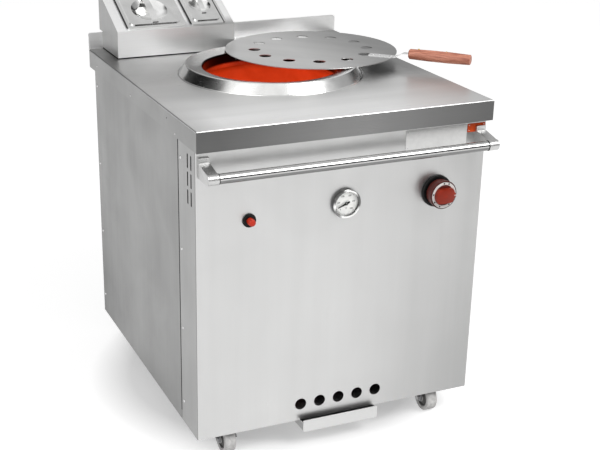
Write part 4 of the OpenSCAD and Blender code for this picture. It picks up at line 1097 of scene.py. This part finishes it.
@dataclass
class Worktop(Assembly):
    """Worktop with its lip screws, and the collar with its weld."""

    lip_spots: Points = ((0.3776, 0.8662), (0.0508, 0.8595), (-0.3113, 0.8542))
    lip_hole: tuple[float, float] = (-0.2505, 0.8779)
    screw_r: float = 0.003
    plug_r: float = 0.0027
    sunk: float = 0.001
    foot_r: float = 0.2523
    bead_sides: int = 160
    bead: Points = ((-0.001, 0.0), (0.0022, 0.0), (0.0016, 0.0012), (0.0, 0.0018), (-0.001, 0.0016), (-0.001, 0.0))

    def build(self) -> None:
        """Builds and dresses the worktop."""
        f = self.finishes
        self.dress(f.worktop, "worktop")
        self.dress(f.collar, "mouth_collar")
        low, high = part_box("worktop")
        ends = ((low.x + self.sunk, Facing.LEFT), (high.x - self.sunk, Facing.RIGHT))
        spots = [((x, y, z), way) for x, way in ends for y, z in self.lip_spots]
        self.fasten("lip_screws", spots, Head.DOME, self.screw_r, f.screw)
        spots = [((x, *self.lip_hole), way) for x, way in ends]
        self.fasten("lip_plugs", spots, Head.DOME, self.plug_r, f.seal, slot="black_plastic")
        profile = [(self.foot_r + r, WORKTOP_Z + z) for r, z in self.bead]
        bead = Shape().lathe(profile, self.bead_sides, Matrix.Translation(MOUTH)).finish("collar_weld")
        self.add(bead, "chassis", "collar_steel", f.collar)


@dataclass
class Hearth(Assembly):
    """Pot, burner and gas train inside the cabinet, and the threaded inlet behind it."""

    inlet: Triple = (0.3, 0.4193, 0.153)
    inlet_r: float = 0.01035
    inlet_l: float = 0.0195
    inlet_turns: float = 10.5

    def build(self) -> None:
        """Builds and dresses the hearth."""
        f = self.finishes
        self.dress(f.clay, "clay_pot")
        self.dress(f.fill, "pot_insulation")
        self.dress(f.frame, "drum_shell", "seat_plate")
        self.dress(f.iron, "ring_burner", "flame_deflector", "mixer_tube")
        self.dress(f.brass, "injector", "gas_valve", "feed_pipe", "supply_pipe")
        self.dress(f.copper, "thermocouple")
        self.dress(f.ceramic, "spark_electrode")
        seed = bpy.data.meshes.new("inlet_seed")
        ridge = self.patterns["thread"].run("inlet_thread", seed, f.brass, Radius=self.inlet_r, Length=self.inlet_l,
                                            Turns=self.inlet_turns)
        ridge.transform(Matrix.Translation(self.inlet) @ turned(-90, "X"))
        self.add(ridge, "chassis", "brass")


@dataclass
class Controls(Assembly):
    """Gas knob with its printed scale, igniter, and thermometer with its dial."""

    knob: tuple[float, float] = (0.259, CONTROLS_Z)
    gauge: tuple[float, float] = (0.0, CONTROLS_Z)
    igniter: tuple[float, float] = (-0.259, 0.658)
    skirt: float = 0.014
    scale_in: float = 0.0275
    scale_out: float = 0.0345
    scale_sides: int = 72
    scale_foot: float = -0.0002
    scale_top: float = 0.00035
    edge_w: float = 0.0013
    edge_top: float = 0.0005
    dots: tuple[float, ...] = (66, 92, 172, 212, 250, 302)
    dot_r: float = 0.0021
    dot_z: float = 0.0003
    pointer: Points = ((0.0225, -0.0009), (0.0292, -0.0009), (0.0292, 0.0009), (0.0225, 0.0009))
    pointer_z: tuple[float, float] = (-0.003, 0.0008)
    pointer_edge: float = 0.0003
    pointer_y: float = 0.0042
    face_y: float = 0.0046
    sweep: float = 270.0
    marks: tuple[tuple[str, int, float, Triple], ...] = (
        ("dial_long_marks", 11, 0.0285, (0.0009, 0.0042, 0.0003)),
        ("dial_short_marks", 51, 0.0295, (0.0004, 0.0022, 0.0003)))
    marks_from: float = -315.0
    numbers: tuple[int, ...] = (0, 100, 200, 300, 400, 500)
    numbers_from: float = 225.0
    numbers_r: float = 0.0212
    number_h: float = 0.0058
    unit_h: float = 0.0062
    unit_y: float = -0.0135
    type_z: float = -0.0001
    type_t: float = 0.00015
    needle: float = 203.0
    blade: Points = ((0.0236, 0.0006), (0.005, 0.002), (0.0, 0.0046), (-0.004, 0.0023), (-0.0092, 0.0023))
    blade_z: tuple[float, float] = (-0.0002, 0.0006)
    rib_count: int = 37
    rib_mark: Triple = (0.0012, 0.0012, 0.0034)
    rib_r: float = 0.0168
    rib_y: float = 0.0035
    dome_gap: float = 0.0004
    dome_foot: float = -0.002
    dome_rise: float = 0.0034
    dome_sides: int = 40
    dome_y: float = 0.001

    def build(self) -> None:
        """Builds and dresses the controls."""
        f = self.finishes
        self.dress(f.knob, "gas_knob")
        self.dress(f.black, "knob_bezel", "igniter_body")
        self.dress(f.button, "igniter_button")
        self.dress(f.screw, "valve_spindle", "gauge_probe")
        self.dress(f.bezel, "gauge_case")
        self.dress(f.dial, "gauge_dial")
        self.dress(f.ink, "gauge_needle")
        self.dress(f.glass, "gauge_glass")
        self.add_scale()
        self.add_pointer()
        self.add_dial()
        self.add_needle()
        self.add_ribs()
        self.add_dome()

    def add_scale(self) -> None:
        """Printed ring on the knob's face with its dots and its dark edge."""
        x, z = self.knob
        ink = self.finishes.ink
        place = to_front(x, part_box("gas_knob")[0].y + self.skirt, z)
        profile = band(self.scale_in, self.scale_out, self.scale_foot, self.scale_top)
        ring = Shape().lathe(profile, self.scale_sides, place).finish("knob_scale")
        self.add(ring, "knob", "dial_white", self.finishes.scale)
        middle = (self.scale_in + self.scale_out) / 2
        dots = [(tuple(place @ Vector((*polar(middle, angle), self.dot_z))), Facing.FRONT) for angle in self.dots]
        self.fasten("knob_dots", dots, Head.DOME, self.dot_r, ink, "knob", "needle_black")
        profile = band(self.scale_out, self.scale_out + self.edge_w, self.scale_foot, self.edge_top)
        edge = Shape().lathe(profile, self.scale_sides, place).finish("knob_edge")
        self.add(edge, "knob", "needle_black", ink)

    def add_pointer(self) -> None:
        """Pale pointer line on the top of the knob's grip."""
        x, z = self.knob
        place = to_front(x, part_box("gas_knob")[0].y + self.pointer_y, z)
        line = Shape().plate(self.pointer, *self.pointer_z, place).soften(self.pointer_edge)
        self.add(line.finish("pointer_line"), "knob", "dial_white", self.finishes.scale)

    def add_dial(self) -> None:
        """Long and short marks, numbers and a unit on the dial."""
        x, z = self.gauge
        ink = self.finishes.ink
        place = to_front(x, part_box("gauge_glass")[1].y + self.face_y, z)
        for name, count, radius, mark in self.marks:
            mesh = self.patterns["marks"].run(
                name, bpy.data.meshes.new("dial_seed"), ink, Count=count, Radius=radius, Mark=mark,
                Start=math.radians(self.marks_from), Sweep=math.radians(self.sweep))
            mesh.transform(place)
            self.add(mesh, "chassis", "needle_black")
        step = self.sweep / (len(self.numbers) - 1)
        words = [self.word(str(number), self.number_h, place, polar(self.numbers_r, self.numbers_from - step * i))
                 for i, number in enumerate(self.numbers)]
        words.append(self.word("°C", self.unit_h, place, (0.0, self.unit_y)))
        joined = bmesh.new()
        for mesh in words:
            joined.from_mesh(mesh)
        numbers = bpy.data.meshes.new("dial_numbers")
        joined.to_mesh(numbers)
        joined.free()
        self.add(numbers, "chassis", "needle_black", ink)

    def word(self, text: str, size: float, place: Matrix, spot: tuple[float, float]) -> bpy.types.Mesh:
        """A number or unit as a flat mesh.

        Args:
            text: What it says.
            size: Height of the type.
            place: Where the dial is.
            spot: Where its middle goes on the dial.

        Returns:
            The mesh.
        """
        curve = bpy.data.curves.new("number", "FONT")
        curve.body, curve.size = text, size
        curve.align_x = curve.align_y = "CENTER"
        curve.extrude = self.type_t
        curve.resolution_u = 3
        holder = put("number", curve)
        mesh = plain_mesh(holder)
        bpy.data.objects.remove(holder)
        mesh.transform(place @ Matrix.Translation((*spot, self.type_z)))
        return mesh

    def add_needle(self) -> None:
        """Tapering blade of the needle, with its boss and its tail."""
        x, z = self.gauge
        place = to_front(x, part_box("gauge_needle")[0].y, z) @ turned(self.needle)
        outline = [*self.blade, *((along, -half) for along, half in self.blade[::-1])]
        blade = Shape().plate(outline, *self.blade_z, place)
        self.add(blade.finish("needle_boss"), "needle", "needle_black", self.finishes.ink)

    def add_ribs(self) -> None:
        """Fine ribs round the igniter's flange."""
        x, z = self.igniter
        ribs = self.patterns["marks"].run("igniter_ribs", bpy.data.meshes.new("rib_seed"), self.finishes.black,
                                          Count=self.rib_count, Radius=self.rib_r, Start=0.0, Sweep=math.tau,
                                          Mark=self.rib_mark)
        ribs.transform(to_front(x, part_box("igniter_body")[0].y + self.rib_y, z))
        self.add(ribs, "chassis", "black_plastic")

    def add_dome(self) -> None:
        """Low dome on the igniter's button."""
        x, z = self.igniter
        low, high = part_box("igniter_button")
        profile = dome((high.x - low.x) / 2 - self.dome_gap, self.dome_foot, self.dome_rise, step=10)
        shape = Shape().lathe(profile, self.dome_sides, to_front(x, low.y + self.dome_y, z))
        self.add(shape.finish("igniter_dome"), "igniter", "button_red", self.finishes.button)


@dataclass
class TowelRail(Assembly):
    """Towel rail with its two cast brackets and the dark joints between them."""

    joint_x: float = 0.363
    joint_w: float = 0.0022
    joint_r: float = 0.0131
    joint_t: float = 0.0015
    joint_edge: float = 0.0002

    def build(self) -> None:
        """Builds and dresses the rail."""
        self.dress(self.finishes.rail, "rail_bar")
        self.dress(self.finishes.cast, "rail_bracket_left", "rail_bracket_right")
        low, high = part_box("rail_bar")
        middle = (low + high) / 2
        r, h = self.joint_r, self.joint_w / 2
        inner, chamfer = r - self.joint_t, r - self.joint_edge
        profile = [(inner, -h), (chamfer, -h), (r, -h + self.joint_edge), (r, h - self.joint_edge), (chamfer, h),
                   (inner, h), (inner, -h)]
        for side, name in ((-1, "rail_joint_left"), (1, "rail_joint_right")):
            place = Matrix.Translation((side * (self.joint_x - h), middle.y, middle.z)) @ turned(90, "Y")
            joint = Shape().lathe(profile, place=place).finish(name)
            self.add(joint, "chassis", "black_plastic", self.finishes.seal)


@dataclass
class DripTray(Assembly):
    """Drip tray under the front edge."""

    def build(self) -> None:
        """Dresses the tray."""
        self.dress(self.finishes.tray, "drip_tray")


@dataclass
class Casters(Assembly):
    """Four swivelling casters with hub covers and axle bolts."""

    corners: tuple[str, ...] = ("front_left", "front_right", "rear_left", "rear_right")
    bolt_r: float = 0.0058
    hub_sides: int = 40
    hub: Points = ((0.0045, 0.006), (0.0272, 0.006), (0.0272, 0.0132), (0.026, 0.0138), (0.0238, 0.0132),
                   (0.0222, 0.0108), (0.0165, 0.0124), (0.0118, 0.0165), (0.0045, 0.0165), (0.0045, 0.006))

    def build(self) -> None:
        """Builds and dresses the casters."""
        self.dress(self.finishes.zinc, "caster_plates")
        for corner in self.corners:
            self.dress(self.finishes.zinc, f"fork_{corner}", f"axle_{corner}")
            self.dress(self.finishes.tread, f"wheel_{corner}")
            low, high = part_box(f"wheel_{corner}")
            middle = (low + high) / 2
            self.add_hub(corner, middle)
            bolts = [((end.x, middle.y, middle.z), way)
                     for end, way in zip(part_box(f"axle_{corner}"), (Facing.LEFT, Facing.RIGHT))]
            self.fasten(f"axle_bolts_{corner}", bolts, Head.HEX, self.bolt_r, self.finishes.screw,
                        f"caster_{corner}", "zinc")

    def add_hub(self, corner: str, middle: Vector) -> None:
        """Moulded cover, dished towards its rim, on both faces of a wheel."""
        shape = Shape()
        for side in (-1, 1):
            shape.lathe(self.hub, self.hub_sides, Matrix.Translation(middle) @ turned(side * 90, "Y"))
        self.add(shape.finish(f"hub_cover_{corner}"), f"roller_{corner}", "wheel_rubber", self.finishes.hub)


@dataclass
class MouthLid(Assembly):
    """Perforated lid with its riveted strap and wooden grip."""

    centre: tuple[float, float] = (0.15591, 0.11195)
    strap_top: float = 0.9323
    strap_rivets: tuple[float, ...] = (0.187, 0.205, 0.238)
    strap_rivet_r: float = 0.0036
    grip_top: float = 0.95885
    grip_rivets: tuple[float, ...] = (0.318, 0.396)
    grip_rivet_r: float = 0.003

    def build(self) -> None:
        """Builds and dresses the lid."""
        f = self.finishes
        self.dress(f.lid, "mouth_lid")
        self.dress(f.screw, "lid_strap")
        self.dress(f.wood, "lid_grip")
        self.add_rivets("strap_rivets", self.strap_rivets, self.strap_top, self.strap_rivet_r, f.screw, "spindle_steel")
        self.add_rivets("grip_rivets", self.grip_rivets, self.grip_top, self.grip_rivet_r, f.brass, "brass")

    def add_rivets(self, name: str, distances: tuple[float, ...], z: float, size: float,
                   finish: bpy.types.Material, slot: str) -> None:
        """Rivets along the handle.

        Args:
            name: Name of the piece.
            distances: How far each stands from the lid's middle.
            z: Height of what they stand on.
            size: Their radius.
            finish: Their material.
            slot: The record's material slot.
        """
        spots = []
        for distance in distances:
            x, y = polar(distance, -LID_TURN)
            spots.append(((self.centre[0] + x, self.centre[1] + y, z), Facing.UP))
        self.fasten(name, spots, Head.DOME, size, finish, "lid", slot)


@dataclass
class PanStand(Assembly):
    """Sloping stand with two pans and their pressed lids."""

    rear: float = 0.4555
    seal_z: tuple[float, float] = (WORKTOP_Z + 0.0001, WORKTOP_Z + 0.0028)
    seal_out: float = 0.0012
    seal_in: float = 0.006
    seal_corner: float = 0.0015

    def build(self) -> None:
        """Builds and dresses the stand."""
        self.dress(self.finishes.stand, "pan_stand")
        self.dress(self.finishes.pressed, "large_pan", "small_pan", "large_pan_lid", "small_pan_lid",
                   "large_lid_handle", "small_lid_handle")
        self.add_seal()

    def add_seal(self) -> None:
        """Dark band round the stand's foot: a painted shadow line."""
        low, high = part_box("pan_stand")
        width, depth = high.x - low.x, self.rear - low.y
        place = Matrix.Translation(((low.x + high.x) / 2, low.y + depth / 2, 0.0))
        shape = Shape()
        rings = [shape.ring(ring_outline(width + more, depth + more, self.seal_corner, 2), z, place)
                 for more in (self.seal_out, -self.seal_in) for z in self.seal_z]
        for a, b in ((0, 1), (1, 3), (3, 2), (2, 0)):
            shape.bridge(rings[a], rings[b])
        self.add(shape.finish("stand_seal"), "chassis", "black_plastic", self.finishes.seal)


# Studio


@dataclass(frozen=True)
class Card:
    """A side of the surroundings that is softer or darker in what metal mirrors.

    Its light is full where the cosine of the angle from its middle is start, and low where that is end.
    """

    way: Triple
    start: float
    end: float
    low: float


@dataclass(frozen=True)
class Lamp:
    """A soft square lamp that looks at the object."""

    name: str
    place: Triple
    size: float
    power: float


@dataclass(frozen=True)
class Studio:
    """Pale floor, soft lights and the camera of the photograph."""

    eye: Triple = (-1.2957, -2.95037, 1.68104)
    azimuth: float = 22.776
    elevation: float = 21.535
    roll: float = 0.486
    focal: float = 72.115
    sensor: float = 36.0
    shift: tuple[float, float] = (0.0744, 0.0234)
    ambient: float = 0.62
    floor: float = 0.6
    floor_size: float = 30.0
    # The floor's glow near the object and far off, and the distances between which it rises; the weaker near glow is
    # painted shade.
    lift: tuple[float, float] = (0.34, 0.7)
    lift_from: tuple[float, float] = (0.42, 0.54)
    aim: Triple = (0.0, 0.0, 0.55)
    lamps: tuple[Lamp, ...] = (Lamp("key", (2.2, -3.6, 4.4), 2.8, 150.0), Lamp("fill", (-3.4, -2.2, 3.0), 3.0, 50.0))
    cards: tuple[Card, ...] = (
        Card((-0.6, 0.75, 0.2), 0.7, 0.95, 0.08),
        Card((-0.66, 0.42, 0.51), 0.88, 0.96, 0.05),
        Card((0.45, 0.8, 0.45), 0.7, 0.98, 0.72),
        Card((1.0, 0.1, 0.35), 0.7, 0.97, 0.35),
        Card((0.8, 0.52, 0.22), 0.92, 0.98, 0.12),
        Card((0.3, 0.2, 0.93), 0.86, 0.97, 0.74),
        Card((0.45, -0.87, 0.2), 0.88, 0.97, 0.05),
    )

    def build(self) -> None:
        """Builds the studio."""
        self.add_camera()
        self.add_world()
        self.add_floor()
        for lamp in self.lamps:
            self.add_lamp(lamp)

    def add_camera(self) -> None:
        """Camera at the photograph's viewing angle."""
        a, e, r = (math.radians(v) for v in (self.azimuth, self.elevation, self.roll))
        ahead = Vector((math.sin(a) * math.cos(e), math.cos(a) * math.cos(e), -math.sin(e)))
        right = ahead.cross(Vector((0, 0, 1))).normalized()
        up = right.cross(ahead)
        right, up = right * math.cos(r) + up * math.sin(r), up * math.cos(r) - right * math.sin(r)
        data = bpy.data.cameras.new("camera")
        data.sensor_width = self.sensor
        data.lens = self.focal
        data.shift_x, data.shift_y = self.shift
        camera = put("camera", data)
        camera.matrix_world = Matrix.Translation(self.eye) @ Matrix((right, up, -ahead)).transposed().to_4x4()
        bpy.context.scene.camera = camera

    def seen(self, nodes: Nodes) -> Socket:
        """1 for rays of the camera and those that metal and glass send on, and 0 for others."""
        path = nodes.node("ShaderNodeLightPath").outputs
        first = nodes.join("MAXIMUM", path["Is Camera Ray"], path["Is Glossy Ray"])
        return nodes.join("MAXIMUM", first, path["Is Transmission Ray"])

    def add_world(self) -> None:
        """White surroundings, with softer and darker sides for what metal mirrors."""
        world = bpy.data.worlds.new("studio")
        world.use_nodes = True
        bpy.context.scene.world = world
        nodes = Nodes(world.node_tree)
        coords = nodes.node("ShaderNodeTexCoord").outputs["Generated"]
        light = None
        for card in self.cards:
            way = Vector(card.way).normalized()
            near = nodes.node("ShaderNodeVectorMath", {0: coords, 1: way}, operation="DOT_PRODUCT").outputs["Value"]
            level = nodes.span(near, card.start, card.end, 1.0, card.low, interpolation_type="SMOOTHSTEP")
            light = level if light is None else nodes.join("MULTIPLY", light, level)
        direct = nodes.node("ShaderNodeLightPath").outputs["Is Camera Ray"]
        plain = nodes.node("ShaderNodeMix", {0: direct, 2: light, 3: 1.0})
        back = world.node_tree.nodes["Background"]
        nodes.feed(back.inputs["Color"], plain.outputs[0])
        nodes.feed(back.inputs["Strength"], nodes.span(self.seen(nodes), 0.0, 1.0, self.ambient, 1.0))

    def add_floor(self) -> None:
        """Pale floor that keeps the object's shadow; its glow is weaker close to the object, a painted shade round it.
        """
        shape = Shape()
        bmesh.ops.create_grid(shape.mesh, x_segments=1, y_segments=1, size=self.floor_size)
        floor = put("floor", shape.finish("floor"))
        paint = Paint("floor_pale", (self.floor, self.floor, self.floor), 0.9)
        paint.fix("Emission Color", (1.0, 1.0, 1.0, 1.0))
        lift = paint.span(paint.along(ROUND), *self.lift_from, *self.lift)
        paint.drive("Emission Strength", paint.join("MULTIPLY", self.seen(paint), lift))
        paint.fix("Specular IOR Level", 0.0)
        floor.data.materials.append(paint.material)

    def add_lamp(self, lamp: Lamp) -> None:
        """Hangs a lamp and turns it to the object."""
        data = bpy.data.lights.new(lamp.name, "AREA")
        data.shape = "SQUARE"
        data.size = lamp.size
        data.energy = lamp.power
        hung = put(lamp.name, data)
        hung.location = lamp.place
        hung.rotation_mode = "QUATERNION"
        hung.rotation_quaternion = (Vector(self.aim) - Vector(lamp.place)).to_track_quat("-Z", "Y")


def main() -> None:
    """Loads the frame, then builds and dresses each sub-assembly."""
    logging.basicConfig(level=logging.INFO, format="%(name)s: %(message)s")
    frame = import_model()
    bpy.context.scene.view_settings.view_transform = "Standard"
    finishes = Finishes()
    patterns = {"fasteners": fastener_pattern(), "marks": mark_pattern(), "thread": thread_pattern()}
    Studio().build()
    for kind in (Cabinet, Worktop, Hearth, Controls, TowelRail, DripTray, Casters, MouthLid, PanStand):
        assembly = kind(frame, finishes, patterns)
        assembly.build()
        LOG.info("%s: %d pieces made", kind.__name__, len(assembly.made))


if __name__ == "__main__":
    main()
